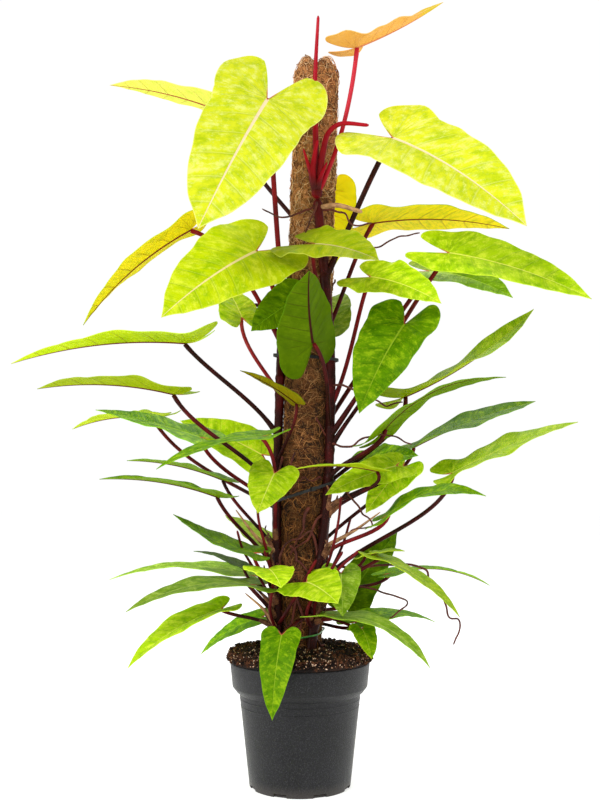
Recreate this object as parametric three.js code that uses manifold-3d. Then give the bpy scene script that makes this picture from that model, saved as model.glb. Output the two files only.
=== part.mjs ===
// A potted painted lady philodendron: a black nursery pot, a mound of soil, a coir
// pole with three climbing stems tied to it, and the heart-shaped leaves they carry.
// Millimetres, +Z up, origin at the centre of the pot's underside, front towards -Y.
import * as THREE from 'three';
import Module from 'manifold-3d';
import { mergeVertices } from 'three/addons/utils/BufferGeometryUtils.js';

const wasm = await Module();
wasm.setup();

// Fits
const GAP = 0.3;

// Pot
const POT_HEIGHT = 182;
const POT_RIM_RADIUS = 105;
const POT_COLLAR_FOOT_RADIUS = 101.5;
const POT_COLLAR_FOOT_HEIGHT = 147;
const POT_NECK_RADIUS = 91;
const POT_NECK_HEIGHT = 136;
const POT_FOOT_RADIUS = 75.5;
const POT_WALL = 2.4;
const POT_FLOOR = 3;
const POT_RIDGE_HEIGHTS = [117, 127];
const POT_RIDGE_RISE = 0.9;
const POT_RIDGE_RUN = 1.6;
const POT_SIDES = 32;
const DRAIN_COUNT = 8;
const DRAIN_WIDTH = 20;
const DRAIN_HEIGHT = 5;

// Soil
const SOIL_TOP = 204;
const SOIL_BULGE_RADIUS = 108.5;
const SOIL_BULGE_HEIGHT = 192;
const SOIL_LUMP = 2.2;
const SOIL_HOLE_GAP = 0.5;

// Coir pole
const POLE_RADIUS = 35;
const POLE_TOP = 1116;
const POLE_FOOT = 30;
const POLE_DOME = 26;
const POLE_DOME_RINGS = [0.93, 0.75, 0.5, 0.25, 0];
const POLE_GROOVE = 0.35;
const POLE_AXIS_X_AT_SOIL = -1.5;
const POLE_LEAN = 0.0311;
const POLE_LUMP = 1.0;
const POLE_SIDES = 18;
const POLE_RINGS = 12;

// Climbing stems: radius, foot and top heights, and the bearing round the pole, in
// degrees from +X, at a few heights
const STEM_SIDES = 7;
const STEM_STEPS = 12;
const STEM_GAP = 0.8;
const STEMS = {
  front: {
    radius: 7.5,
    foot: 120,
    top: 880,
    bearings: [[120, -75], [330, -50], [470, -28], [620, -32], [760, -58], [880, -82]],
  },
  left: {
    radius: 7,
    foot: 125,
    top: 745,
    bearings: [[125, -128], [300, -150], [470, -172], [620, -178], [745, -165]],
  },
  back: {
    radius: 7,
    foot: 125,
    top: 860,
    bearings: [[125, 62], [320, 88], [520, 75], [700, 60], [860, 48]],
  },
};

// Petioles
const PETIOLE_SIDES = 4;
const PETIOLE_STEPS = 4;
const LONG_PETIOLE_STEPS = 6;
const LONG_PETIOLE = 190;
const PETIOLE_BASE_SWELL = 1.5;
const PETIOLE_RISE = 0.34;
const PETIOLE_REACH = 0.3;

// Blades
const BLADE_THICKNESS = 1.2;
const BLADE_KEEL = 1.4;
const BLADE_ACROSS = [0, 0.45, 1];
const LARGE_BLADE = 145;
const LARGE_STATIONS = { lobe: 3, blade: 5 };
const SMALL_STATIONS = { lobe: 2, blade: 4 };
const LOBE_LIFT = 0.1;
const LEAF_WAIST = 0.4;
const CLEARANCE = 0.36;

// Ties round the pole and its stems
const TIE_GAP = 1.5;
const TIE_SIDES = 16;
const TIES = [
  { name: 'tie_upper', height: 640, slope: -6, width: 4.5, thickness: 1.4, lock: 6, bearing: -112,
    colour: 0x1b1b1d },
  { name: 'tie_lower', height: 436, slope: 18, width: 4.5, thickness: 1.4, lock: 6, bearing: -70,
    colour: 0x1b1b1d },
  { name: 'tie_green', height: 222, slope: 12, width: 2.2, thickness: 1.2, colour: 0x3d8f2a },
];

// New growth at the front stem's end
const KNOT_RADIUS = 8;
const KNOT_FORWARD = 1.5;

// Spikes, papery sheaths and aerial roots: each springs from its stem at the height node
// and runs through path, its radius falling to tip
const SPRIGS = [
  { name: 'spike_main', stem: 'growth', radius: 5.4, tip: 2.3, steps: 8,
    path: [[24, -49, 960], [23, -49, 1059], [28, -48, 1164]] },
  { name: 'spike_side', stem: 'growth', radius: 6, tip: 2.7, steps: 8,
    path: [[35, -53, 950], [43, -55, 978], [60, -57, 991], [104, -58, 989]] },
  { name: 'spike_short', stem: 'growth', radius: 5.4, tip: 1.4, steps: 4,
    path: [[14, -52, 925], [5, -51, 955]] },
  { name: 'sheath_knot', stem: 'front', node: 866, radius: 4.2, tip: 3, steps: 3,
    path: [[55, -50, 868], [94, -52, 857]] },
  { name: 'sheath_left', stem: 'left', node: 345, radius: 4, tip: 0.9, steps: 4,
    path: [[-62, -36, 366], [-95, -50, 410]] },
  { name: 'sheath_low_left', stem: 'left', node: 232, radius: 3.6, tip: 0.9, steps: 4,
    path: [[-52, -44, 262], [-80, -60, 289]] },
  { name: 'sheath_right', stem: 'front', node: 352, radius: 4, tip: 0.9, steps: 4,
    path: [[81, -50, 380], [118, -60, 407]] },
  { name: 'root_top_right', stem: 'back', node: 803, radius: 1.3, tip: 0.8, steps: 8,
    path: [[71, 35, 818], [127, 30, 823], [150, 25, 835], [189, 20, 842]] },
  { name: 'root_knot_right', stem: 'front', node: 862, radius: 1.3, tip: 0.8, steps: 6,
    path: [[50, -56, 860], [68, -57, 852], [78, -58, 836], [108, -60, 838]] },
  { name: 'root_knot_left', stem: 'front', node: 870, radius: 1.3, tip: 0.8, steps: 5,
    path: [[5, -58, 858], [-23, -57, 847], [-57, -60, 860]] },
  { name: 'root_upper_front', stem: 'front', node: 596, radius: 1.3, tip: 0.8, steps: 7,
    path: [[63, -45, 596], [97, -50, 580], [126, -55, 565], [151, -60, 568]] },
  { name: 'root_middle', stem: 'front', node: 510, radius: 1.3, tip: 0.8, steps: 10,
    path: [[74, -47, 503], [89, -49, 513], [107, -51, 519], [141, -53, 519], [166, -55, 506]] },
  { name: 'root_loop', stem: 'front', node: 442, radius: 1.3, tip: 0.8, steps: 9,
    path: [[67, -50, 439], [89, -53, 410], [106, -57, 388], [73, -60, 379]] },
  { name: 'root_hanging', stem: 'back', node: 318, radius: 1.5, tip: 0.9, steps: 13,
    path: [[105, -20, 325], [147, -21, 327], [187, -22, 322], [197, -23, 300], [209, -24, 293],
      [216, -26, 275], [223, -27, 249], [235, -28, 246], [238, -29, 238], [227, -30, 210]] },
  { name: 'root_low', stem: 'back', node: 288, radius: 1.3, tip: 0.8, steps: 9,
    path: [[96, 0, 292], [151, -7, 276], [161, -13, 270], [127, -20, 244]] },
  { name: 'root_left', stem: 'left', node: 328, radius: 1.5, tip: 0.9, steps: 6,
    path: [[-28, -50, 336], [-22, -53, 359], [7, -57, 373], [19, -60, 381]] },
];

// Colours of the foliage
const TONES = {
  lemon: 0xdde82a,
  chartreuse: 0xc4dc14,
  lime: 0x9fca16,
  green: 0x5f9a12,
  dark: 0x3f7409,
  sage: 0x86a658,
  olive: 0xb7b42c,
  orange: 0xf2b552,
};

// The leaves. base is where the petiole meets the blade, tip its point. half is the
// widest reach from the midrib, lobe how far the rear lobes run back, roll the turn
// about the midrib with the right side down, arch the rise of the midrib as a share of
// the length, fold the lift of each half in degrees, wave the ripple of the margin as a
// share of half, lift the rise of the rear lobes as a share of lobe, twist the turn
// gained from base to tip, and waist draws the margin in before the middle. node is the height
// where the petiole leaves its stem, and bend shifts its middle.
const LEAVES = [
  { name: 'leaf_crown_left', stem: 'left', node: 735, petiole: 4, tone: 'lemon',
    base: [-48, -99, 1014], tip: [-139, -204, 795], half: 84, lobe: 84, roll: -47, arch: 0.06, fold: 6,
    wave: 0.05, waist: 1 },
  { name: 'leaf_crown_right', stem: 'front', node: 760, petiole: 4.2, tone: 'lemon',
    base: [139, -70, 965], tip: [311, -194, 801], half: 80, lobe: 68, roll: 43, arch: 0.06, fold: 12,
    wave: 0.05, waist: 1 },
  { name: 'leaf_newest', stem: 'growth', node: 880, petiole: 3.4, tone: 'orange',
    base: [86, -45, 1115], tip: [218, -60, 1180], half: 44, lobe: 38, roll: 5, arch: -0.03, fold: 20,
    wave: 0.12, lift: 0.3, twist: 24 },
  { name: 'leaf_crown_back', stem: 'back', node: 800, petiole: 3.6, bend: [0, 26, 0], tone: 'chartreuse',
    base: [-122, 60, 1050], tip: [-313, 75, 1102], half: 54, lobe: 40, roll: 3, arch: 0.04, fold: 10,
    wave: 0.05 },
  { name: 'leaf_upper_left_drooping', stem: 'left', node: 665, petiole: 3.4, tone: 'olive',
    base: [-169, -10, 840], tip: [-329, -30, 688], half: 52, lobe: 32, roll: 7, arch: 0.06, fold: 14,
    wave: 0.05 },
  { name: 'leaf_upper_left_broad', stem: 'left', node: 700, petiole: 3.6, tone: 'chartreuse',
    base: [-64, -85, 790], tip: [-192, -172, 678], half: 74, lobe: 60, roll: -47, arch: 0.06, fold: 5,
    wave: 0.05 },
  { name: 'leaf_upper_middle_bright', stem: 'front', node: 690, petiole: 3, tone: 'chartreuse',
    base: [21, -105, 796], tip: [110, -175, 757], half: 50, lobe: 60, roll: 34, arch: 0.05, fold: 10,
    wave: 0.07 },
  { name: 'leaf_upper_right_olive', stem: 'back', node: 665, petiole: 3.4, tone: 'olive',
    base: [114, 20, 858], tip: [336, 50, 856], half: 60, lobe: 38, roll: -9, arch: 0.05, fold: 4,
    wave: 0.06 },
  { name: 'leaf_upper_back_yellow', stem: 'back', node: 760, petiole: 3.2, tone: 'olive',
    base: [48, 80, 926], tip: [60, 130, 815], half: 45, lobe: 26, roll: 0, arch: 0.06, fold: 8,
    wave: 0.05 },
  { name: 'leaf_upper_right_long', stem: 'front', node: 520, petiole: 3.4, bend: [14, -38, 0], tone: 'lime',
    base: [227, -30, 799], tip: [424, -100, 716], half: 55, lobe: 58, roll: 45, arch: 0.05, fold: 12,
    wave: 0.06 },
  { name: 'leaf_upper_right_mid', stem: 'back', node: 500, petiole: 3.6, tone: 'green',
    base: [205, 42, 785], tip: [320, -48, 727], half: 50, lobe: 58, roll: 28, arch: 0.06, fold: 10,
    wave: 0.08 },
  { name: 'leaf_upper_right_inner', stem: 'front', node: 565, petiole: 3.2, tone: 'lime',
    base: [107, -30, 762], tip: [204, -110, 708], half: 48, lobe: 42, roll: 38, arch: 0.06, fold: 10,
    wave: 0.08 },
  { name: 'leaf_upper_right_hanging', stem: 'front', node: 500, petiole: 3.2, tone: 'green',
    base: [156, -62, 685], tip: [84, -120, 548], half: 56, lobe: 40, roll: -26, arch: 0.06, fold: 24,
    wave: 0.08, twist: -14 },
  { name: 'leaf_upper_front_dark', stem: 'front', node: 530, petiole: 3, tone: 'dark',
    base: [19, -92, 652], tip: [13, -174, 743], half: 56, lobe: 50, roll: 45, arch: 0.04, fold: 25,
    wave: 0.05 },
  { name: 'leaf_upper_left_dark', stem: 'left', node: 610, petiole: 2.8, bend: [-16, -24, 0], tone: 'dark',
    base: [-6, -58, 723], tip: [-72, -80, 672], half: 38, lobe: 26, roll: -60, arch: 0.04, fold: 8,
    wave: 0.05 },
  { name: 'leaf_upper_left_small', stem: 'left', node: 585, petiole: 3, tone: 'sage',
    base: [-90, 0, 704], tip: [-121, 60, 762], half: 38, lobe: 26, roll: 0, arch: 0.05, fold: 8,
    wave: 0.06 },
  { name: 'leaf_middle_left_top', stem: 'left', node: 520, petiole: 3.4, tone: 'lime',
    base: [-175, -20, 662], tip: [-429, -60, 626], half: 55, lobe: 50, roll: 1, arch: 0.05, fold: 18,
    wave: 0.07, lift: 0.5 },
  { name: 'leaf_middle_left_flat', stem: 'left', node: 434, petiole: 3.2, tone: 'lime',
    base: [-187, -55, 581], tip: [-397, -30, 591], half: 52, lobe: 32, roll: 2, arch: 0.05, fold: 18,
    wave: 0.07, lift: 0.25 },
  { name: 'leaf_middle_left_pale', stem: 'back', node: 372, petiole: 3, bend: [0, 0, -25], tone: 'lime',
    base: [-240, 100, 556], tip: [-377, 130, 538], half: 46, lobe: 40, roll: -4, arch: 0.06, fold: 14,
    wave: 0.1, lift: 0.3 },
  { name: 'leaf_middle_left_long', stem: 'back', node: 370, petiole: 3, tone: 'lime',
    base: [-153, 0, 519], tip: [-316, 10, 562], half: 46, lobe: 38, roll: -16, arch: 0.02, fold: 8,
    wave: 0.07 },
  { name: 'leaf_middle_left_behind', stem: 'back', node: 330, petiole: 2.8, tone: 'lime',
    base: [-61, 70, 494], tip: [-197, 115, 551], half: 44, lobe: 32, roll: -45, arch: 0.05, fold: 8,
    wave: 0.06 },
  { name: 'leaf_middle_left_grey', stem: 'left', node: 360, petiole: 2.8, tone: 'sage',
    base: [-56, -75, 517], tip: [-203, -125, 469], half: 42, lobe: 38, roll: -8, arch: 0.06, fold: 8,
    wave: 0.07, lift: 0.3 },
  { name: 'leaf_middle_left_slim', stem: 'left', node: 345, petiole: 2.6, tone: 'green',
    base: [-118, 15, 454], tip: [-270, 30, 484], half: 36, lobe: 22, roll: 2, arch: 0.05, fold: 14,
    wave: 0.07 },
  { name: 'leaf_middle_left_low', stem: 'left', node: 315, petiole: 2.8, bend: [0, 28, 0], tone: 'green',
    base: [-121, -55, 429], tip: [-283, -125, 455], half: 40, lobe: 24, roll: -4, arch: 0.05, fold: 14,
    wave: 0.06, lift: 0.3 },
  { name: 'leaf_middle_left_steep', stem: 'left', node: 285, petiole: 2.6, tone: 'dark',
    base: [-67, -60, 347], tip: [-185, -70, 404], half: 36, lobe: 22, roll: -14, arch: -0.05, fold: 8,
    wave: 0.06 },
  { name: 'leaf_middle_heart', stem: 'left', node: 440, petiole: 2.6, tone: 'chartreuse',
    base: [-37, -75, 464], tip: [-60, -118, 407], half: 37, lobe: 20, roll: -20, arch: 0.04, fold: 6,
    wave: 0.03 },
  { name: 'leaf_middle_left_olive', stem: 'left', node: 480, petiole: 2.4, tone: 'olive',
    base: [-4, -56, 567], tip: [-88, -78, 614], half: 26, lobe: 8, roll: 5, arch: 0.04, fold: 10,
    wave: 0.05 },
  { name: 'leaf_middle_right_twisted', stem: 'back', node: 410, petiole: 3.2, tone: 'sage',
    base: [164, 30, 584], tip: [373, 50, 726], half: 48, lobe: 40, roll: -12, arch: -0.05, fold: 12,
    wave: 0.12, lift: 0.3, twist: 50 },
  { name: 'leaf_middle_right_olive', stem: 'front', node: 455, petiole: 3.4, tone: 'olive',
    base: [126, -50, 530], tip: [300, -90, 603], half: 54, lobe: 50, roll: -2, arch: 0.12, fold: -8,
    wave: 0.07, lift: 0.5 },
  { name: 'leaf_middle_right_grey', stem: 'back', node: 380, petiole: 3, tone: 'sage',
    base: [181, 72, 506], tip: [387, 112, 583], half: 52, lobe: 36, roll: -3, arch: 0.03, fold: 8,
    wave: 0.08, twist: 32 },
  { name: 'leaf_middle_right_long', stem: 'front', node: 290, petiole: 3.2, tone: 'lime',
    base: [230, -20, 464], tip: [414, -50, 540], half: 50, lobe: 30, roll: 17, arch: 0.03, fold: 10,
    wave: 0.12, lift: 0.3 },
  { name: 'leaf_middle_right_arched', stem: 'front', node: 335, petiole: 3, tone: 'green',
    base: [129, -60, 403], tip: [265, -110, 431], half: 44, lobe: 32, roll: 16, arch: 0.14, fold: 8,
    wave: 0.07, lift: 0.3 },
  { name: 'leaf_cluster_upper', stem: 'back', node: 350, petiole: 2.8, tone: 'green',
    base: [99, 34, 480], tip: [180, -11, 491], half: 44, lobe: 32, roll: 33, arch: 0.05, fold: 6,
    wave: 0.06 },
  { name: 'leaf_cluster_pale', stem: 'back', node: 320, petiole: 2.8, tone: 'lime',
    base: [159, 6, 474], tip: [99, -19, 404], half: 32, lobe: 22, roll: -40, arch: 0.05, fold: 6,
    wave: 0.06 },
  { name: 'leaf_cluster_olive', stem: 'front', node: 395, petiole: 2.6, tone: 'green',
    base: [145, -32, 475], tip: [37, -74, 432], half: 32, lobe: 22, roll: -40, arch: 0.05, fold: 6,
    wave: 0.06 },
  { name: 'leaf_middle_across', stem: 'front', node: 405, petiole: 2.6, tone: 'lime',
    base: [113, -87, 467], tip: [-8, -117, 469], half: 34, lobe: 14, roll: 0, arch: 0.05, fold: 8,
    wave: 0.06 },
  { name: 'leaf_low_left_upper', stem: 'back', node: 245, petiole: 3, tone: 'sage',
    base: [-78, 52, 305], tip: [-301, 67, 297], half: 50, lobe: 34, roll: -4, arch: 0.08, fold: 6,
    wave: 0.06 },
  { name: 'leaf_low_left_lower', stem: 'left', node: 245, petiole: 3, tone: 'sage',
    base: [-74, -50, 300], tip: [-246, -110, 268], half: 48, lobe: 34, roll: -6, arch: 0.09, fold: 6,
    wave: 0.05 },
  { name: 'leaf_low_left_bright', stem: 'left', node: 265, petiole: 2.4, tone: 'lime',
    base: [-46, -82, 326], tip: [-26, -150, 306], half: 37, lobe: 18, roll: 0, arch: 0.06, fold: 6,
    wave: 0.05 },
  { name: 'leaf_low_left_front', stem: 'left', node: 228, petiole: 2.6, tone: 'lime',
    base: [-116, -35, 263], tip: [-245, -95, 187], half: 42, lobe: 24, roll: -6, arch: 0.07, fold: 18,
    wave: 0.06 },
  { name: 'leaf_low_left_dark', stem: 'back', node: 225, petiole: 2.6, tone: 'dark',
    base: [-59, 55, 240], tip: [-155, 60, 182], half: 36, lobe: 22, roll: -16, arch: 0.08, fold: 6,
    wave: 0.05 },
  { name: 'leaf_low_front', stem: 'front', node: 245, petiole: 2.6, tone: 'lime',
    base: [-26, -100, 235], tip: [-38, -152, 127], half: 29, lobe: 12, roll: 0, arch: 0.08, fold: 10,
    wave: 0.05 },
  { name: 'leaf_low_middle_bright', stem: 'front', node: 262, petiole: 2.6, tone: 'chartreuse',
    base: [9, -92, 308], tip: [52, -165, 286], half: 45, lobe: 24, roll: 22, arch: 0.06, fold: 6,
    wave: 0.05 },
  { name: 'leaf_low_middle_grey', stem: 'front', node: 272, petiole: 2.4, tone: 'sage',
    base: [60, -58, 318], tip: [60, -115, 262], half: 30, lobe: 22, roll: 0, arch: 0.06, fold: 6,
    wave: 0.05 },
  { name: 'leaf_low_right_dark', stem: 'back', node: 240, petiole: 2.8, tone: 'dark',
    base: [75, 60, 263], tip: [158, 105, 370], half: 38, lobe: 20, roll: 40, arch: 0.06, fold: 6,
    wave: 0.05 },
  { name: 'leaf_low_right_yellow', stem: 'front', node: 250, petiole: 2.6, tone: 'chartreuse',
    base: [117, -60, 340], tip: [224, -120, 262], half: 38, lobe: 26, roll: -4, arch: 0.08, fold: 6,
    wave: 0.05 },
  { name: 'leaf_low_right_slim', stem: 'back', node: 265, petiole: 2.4, tone: 'sage',
    base: [138, 5, 312], tip: [294, 35, 291], half: 36, lobe: 24, roll: 0, arch: 0.1, fold: 6,
    wave: 0.05 },
  { name: 'leaf_low_right_green', stem: 'back', node: 225, petiole: 2.6, tone: 'green',
    base: [86, -4, 240], tip: [210, 41, 234], half: 38, lobe: 24, roll: 7, arch: 0.1, fold: 6,
    wave: 0.05 },
  { name: 'leaf_low_right_arched', stem: 'front', node: 240, petiole: 2.8, tone: 'green',
    base: [51, -72, 258], tip: [181, -125, 193], half: 44, lobe: 40, roll: 0, arch: 0.13, fold: 8,
    wave: 0.05 },
  { name: 'leaf_upper_back_pale', stem: 'back', fused: true, node: 700, petiole: 3, tone: 'chartreuse',
    base: [-162, 70, 773], tip: [-85, 150, 843], half: 45, lobe: 34, roll: 0, arch: 0.06, fold: 8,
    wave: 0.05 },
  { name: 'leaf_upper_right_pale', stem: 'back', fused: true, node: 560, petiole: 2.6, tone: 'sage',
    base: [45, 75, 700], tip: [74, 150, 770], half: 38, lobe: 26, roll: 0, arch: 0.05, fold: 6,
    wave: 0.05 },
  { name: 'leaf_middle_back_pale', stem: 'back', fused: true, node: 290, petiole: 2.4, tone: 'lime',
    base: [-51, 80, 350], tip: [-125, 150, 395], half: 36, lobe: 24, roll: 0, arch: 0.05, fold: 6,
    wave: 0.05 },
  { name: 'leaf_low_left_slim', stem: 'left', fused: true, node: 255, petiole: 2.2, tone: 'dark',
    base: [-85, 0, 322], tip: [-165, 30, 344], half: 24, lobe: 14, roll: 0, arch: 0.05, fold: 6,
    wave: 0.05 },
  { name: 'leaf_low_back_dark', stem: 'back', fused: true, node: 255, petiole: 2.4, tone: 'dark',
    base: [-50, 110, 300], tip: [-120, 190, 300], half: 34, lobe: 24, roll: 0, arch: 0.06, fold: 6,
    wave: 0.05 },
  { name: 'leaf_low_right_small', stem: 'front', fused: true, node: 280, petiole: 2.2, tone: 'lime',
    base: [96, -45, 342], tip: [152, -75, 351], half: 26, lobe: 12, roll: 5, arch: 0.05, fold: 6,
    wave: 0.05 },
  { name: 'leaf_low_right_olive', stem: 'front', fused: true, node: 244, petiole: 2.2, tone: 'olive',
    base: [89, -82, 241], tip: [101, -112, 203], half: 20, lobe: 10, roll: 0, arch: 0.06, fold: 6,
    wave: 0.05 },
];

// Solids from geometries, and back
function solidOf(geometry) {
  const bare = geometry.clone();
  bare.deleteAttribute('normal');
  bare.deleteAttribute('uv');
  const merged = mergeVertices(bare, 1e-4);
  const corners = merged.index.array;
  const kept = [];
  for (let i = 0; i < corners.length; i += 3) {
    const [a, b, c] = [corners[i], corners[i + 1], corners[i + 2]];
    if (a !== b && b !== c && c !== a) kept.push(a, b, c);
  }
  return new wasm.Manifold(new wasm.Mesh({
    numProp: 3,
    vertProperties: new Float32Array(merged.attributes.position.array),
    triVerts: new Uint32Array(kept),
  }));
}

function geometryOf(solid) {
  const mesh = solid.getMesh();
  const geometry = new THREE.BufferGeometry();
  geometry.setAttribute('position', new THREE.BufferAttribute(mesh.vertProperties.slice(), 3));
  geometry.setIndex(new THREE.BufferAttribute(mesh.triVerts.slice(), 1));
  geometry.computeVertexNormals();
  return geometry;
}

function joined(solids) {
  return solids.reduce((whole, solid) => whole.add(solid));
}

// The largest body of a solid, without the crumbs that a cut can leave
function mainBody(solid) {
  return solid.decompose().reduce((best, body) => (body.volume() > best.volume() ? body : best));
}

// A bar along a curve, its radius following a law of the share run
function bar(curve, radius, sides, steps, law = () => 1) {
  const section = new THREE.Shape();
  for (let i = 0; i < sides; i += 1) {
    const angle = (2 * Math.PI * i) / sides;
    section[i === 0 ? 'moveTo' : 'lineTo'](radius * Math.cos(angle), radius * Math.sin(angle));
  }
  section.closePath();
  const geometry = new THREE.ExtrudeGeometry(section, {
    steps, bevelEnabled: false, extrudePath: curve, curveSegments: 1,
  });
  const centres = curve.getSpacedPoints(steps);
  const corner = new THREE.Vector3();
  const { position } = geometry.attributes;
  for (let i = 0; i < position.count; i += 1) {
    corner.fromBufferAttribute(position, i);
    let nearest = 0;
    centres.forEach((centre, k) => {
      if (corner.distanceTo(centre) < corner.distanceTo(centres[nearest])) nearest = k;
    });
    const centre = centres[nearest];
    corner.sub(centre).multiplyScalar(law(nearest / steps)).add(centre);
    position.setXYZ(i, corner.x, corner.y, corner.z);
  }
  return geometry;
}

// Places on the pole and the stems
function poleAxisX(z) {
  return POLE_AXIS_X_AT_SOIL + (z - SOIL_TOP) * POLE_LEAN;
}

function bearingAt(stem, z) {
  const rows = stem.bearings;
  const last = rows.length - 1;
  if (z <= rows[0][0]) return rows[0][1];
  if (z >= rows[last][0]) return rows[last][1];
  const k = rows.findIndex(([height]) => height > z);
  const [[z0, b0], [z1, b1]] = [rows[k - 1], rows[k]];
  return b0 + ((b1 - b0) * (z - z0)) / (z1 - z0);
}

function stemPoint(stem, z) {
  const reach = POLE_RADIUS + POLE_LUMP + stem.radius + STEM_GAP;
  const bearing = THREE.MathUtils.degToRad(bearingAt(stem, z));
  return new THREE.Vector3(poleAxisX(z) + reach * Math.cos(bearing), reach * Math.sin(bearing), z);
}

// The blade's own frame and its shape
function bladeFrame(leaf) {
  const base = new THREE.Vector3(...leaf.base);
  const tip = new THREE.Vector3(...leaf.tip);
  const along = tip.clone().sub(base).normalize();
  const level = new THREE.Vector3(0, 0, 1).addScaledVector(along, -along.z).normalize();
  const side = along.clone().cross(level);
  const roll = THREE.MathUtils.degToRad(leaf.roll);
  const face = level.multiplyScalar(Math.cos(roll)).addScaledVector(side, Math.sin(roll));
  const right = along.clone().cross(face);
  return { base, along, face, right, length: tip.distanceTo(base) };
}

function cubic(a, b, c, d, q) {
  const p = 1 - q;
  return [0, 1].map((k) => p * p * p * a[k] + 3 * p * p * q * b[k] + 3 * p * q * q * c[k] + q * q * q * d[k]);
}

// The inner edge (sinus, then midrib) and the margin of one half, as flat points
function halfOutline(half, lobe, length, grow, waist) {
  const stations = length > LARGE_BLADE ? LARGE_STATIONS : SMALL_STATIONS;
  const rear = [0.42 * half, -0.98 * lobe - grow];
  const widest = [(1 - 0.1 * waist) * half + grow, (0.06 + 0.04 * waist) * length];
  const behind = [(0.72 + 0.08 * waist) * half, -(1.14 + 0.06 * waist) * lobe - grow];
  const beside = [(1.03 + 0.17 * waist) * half + grow, -(0.6 - 0.3 * waist) * lobe];
  const before = [(0.99 - 0.15 * waist) * half + grow, (0.36 - 0.1 * waist) * length];
  const ahead = [(0.43 + 0.4 * waist) * half + grow, 0.79 * length];
  const rows = [];
  for (let i = 0; i <= stations.lobe; i += 1) {
    const q = i / stations.lobe;
    rows.push({
      inner: cubic(rear, [0.28 * half - grow, -0.8 * lobe], [0.1 * half - grow, -0.3 * lobe], [0, -grow], q),
      outer: cubic(rear, behind, beside, widest, q),
      keel: BLADE_KEEL * q * q,
      open: q < 1,
    });
  }
  for (let i = 1; i <= stations.blade; i += 1) {
    const q = i / stations.blade;
    rows.push({
      inner: [0, length * q ** 1.2 + (q === 1 ? grow : 0)],
      outer: cubic(widest, before, ahead, [0, length + grow], q),
      keel: BLADE_KEEL * (1 - q),
      open: false,
    });
  }
  return rows;
}

// A flat point of the blade, lifted to its place in space
function bladePoint(leaf, frame, x, y, offset) {
  const share = y / frame.length;
  const across = Math.abs(x) / leaf.half;
  const bow = 4 * share * (1 - share) * frame.length;
  const phase = (x > 0 ? 0.15 : 0.55) + (leaf.base[0] % 7) / 7;
  const ripple = leaf.wave * leaf.half * across ** 2 * Math.sin(2 * Math.PI * (1.7 * share + phase));
  const fold = Math.tan(THREE.MathUtils.degToRad(leaf.fold)) * Math.abs(x) * (1 - 0.45 * across);
  const lift = (leaf.lift ?? LOBE_LIFT) * (Math.min(0, y) ** 2 / leaf.lobe);
  const rise = fold + ripple + lift + offset;
  const turn = THREE.MathUtils.degToRad((leaf.twist ?? 0) * share);
  return frame.base.clone()
    .addScaledVector(frame.along, y)
    .addScaledVector(frame.right, x * Math.cos(turn) + rise * Math.sin(turn))
    .addScaledVector(frame.face, leaf.arch * bow + rise * Math.cos(turn) - x * Math.sin(turn));
}

function bladeGeometry(leaf, grow = 0) {
  const frame = bladeFrame(leaf);
  const rows = halfOutline(leaf.half, leaf.lobe, frame.length, grow, leaf.waist ?? LEAF_WAIST);
  const corners = [];
  const triangle = (a, b, c) => corners.push(...a.toArray(), ...b.toArray(), ...c.toArray());
  for (const side of [1, -1]) {
    const grid = rows.map(({ inner, outer, keel }) => BLADE_ACROSS.map((q) => {
      const x = side * (inner[0] + (outer[0] - inner[0]) * q);
      const y = inner[1] + (outer[1] - inner[1]) * q;
      return {
        top: bladePoint(leaf, frame, x, y, BLADE_THICKNESS / 2 + grow),
        bottom: bladePoint(leaf, frame, x, y, -BLADE_THICKNESS / 2 - (q === 0 ? keel : 0) - grow),
      };
    }));
    const facing = (a, b, c) => (side > 0 ? triangle(a, b, c) : triangle(a, c, b));
    const last = BLADE_ACROSS.length - 1;
    for (let i = 0; i < rows.length - 1; i += 1) {
      for (let j = 0; j < last; j += 1) {
        const [a, b, c, d] = [grid[i][j], grid[i][j + 1], grid[i + 1][j + 1], grid[i + 1][j]];
        facing(a.top, b.top, c.top);
        facing(a.top, c.top, d.top);
        facing(a.bottom, c.bottom, b.bottom);
        facing(a.bottom, d.bottom, c.bottom);
      }
      const [m, n] = [grid[i][last], grid[i + 1][last]];
      facing(m.bottom, n.bottom, n.top);
      facing(m.bottom, n.top, m.top);
      if (rows[i].open) {
        const [s, t] = [grid[i][0], grid[i + 1][0]];
        facing(s.top, t.top, t.bottom);
        facing(s.top, t.bottom, s.bottom);
      }
    }
  }
  const geometry = new THREE.BufferGeometry();
  geometry.setAttribute('position', new THREE.Float32BufferAttribute(corners, 3));
  return geometryOf(solidOf(geometry));
}

// A petiole from its node up to the underside of the blade
function petioleGeometry(leaf, start) {
  const frame = bladeFrame(leaf);
  const end = frame.base.clone().addScaledVector(frame.face, -BLADE_KEEL - leaf.petiole * 0.4);
  const reach = end.distanceTo(start);
  const outward = end.clone().sub(start).setZ(0).normalize();
  const bend = new THREE.Vector3(...(leaf.bend ?? [0, 0, 0]));
  const arrival = frame.face.clone().multiplyScalar(0.8).addScaledVector(frame.along, 0.5).normalize();
  const rise = start.clone()
    .addScaledVector(outward, PETIOLE_RISE * reach * 0.45)
    .add(new THREE.Vector3(0, 0, PETIOLE_RISE * reach * 0.8))
    .add(bend);
  const meet = end.clone().addScaledVector(arrival, -PETIOLE_REACH * reach).add(bend);
  const curve = new THREE.CubicBezierCurve3(start, rise, meet, end);
  const steps = reach > LONG_PETIOLE ? LONG_PETIOLE_STEPS : PETIOLE_STEPS;
  const law = (share) => 1 + (PETIOLE_BASE_SWELL - 1) * Math.max(0, 1 - share * 5);
  return bar(curve, leaf.petiole, PETIOLE_SIDES, steps, law);
}

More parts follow.
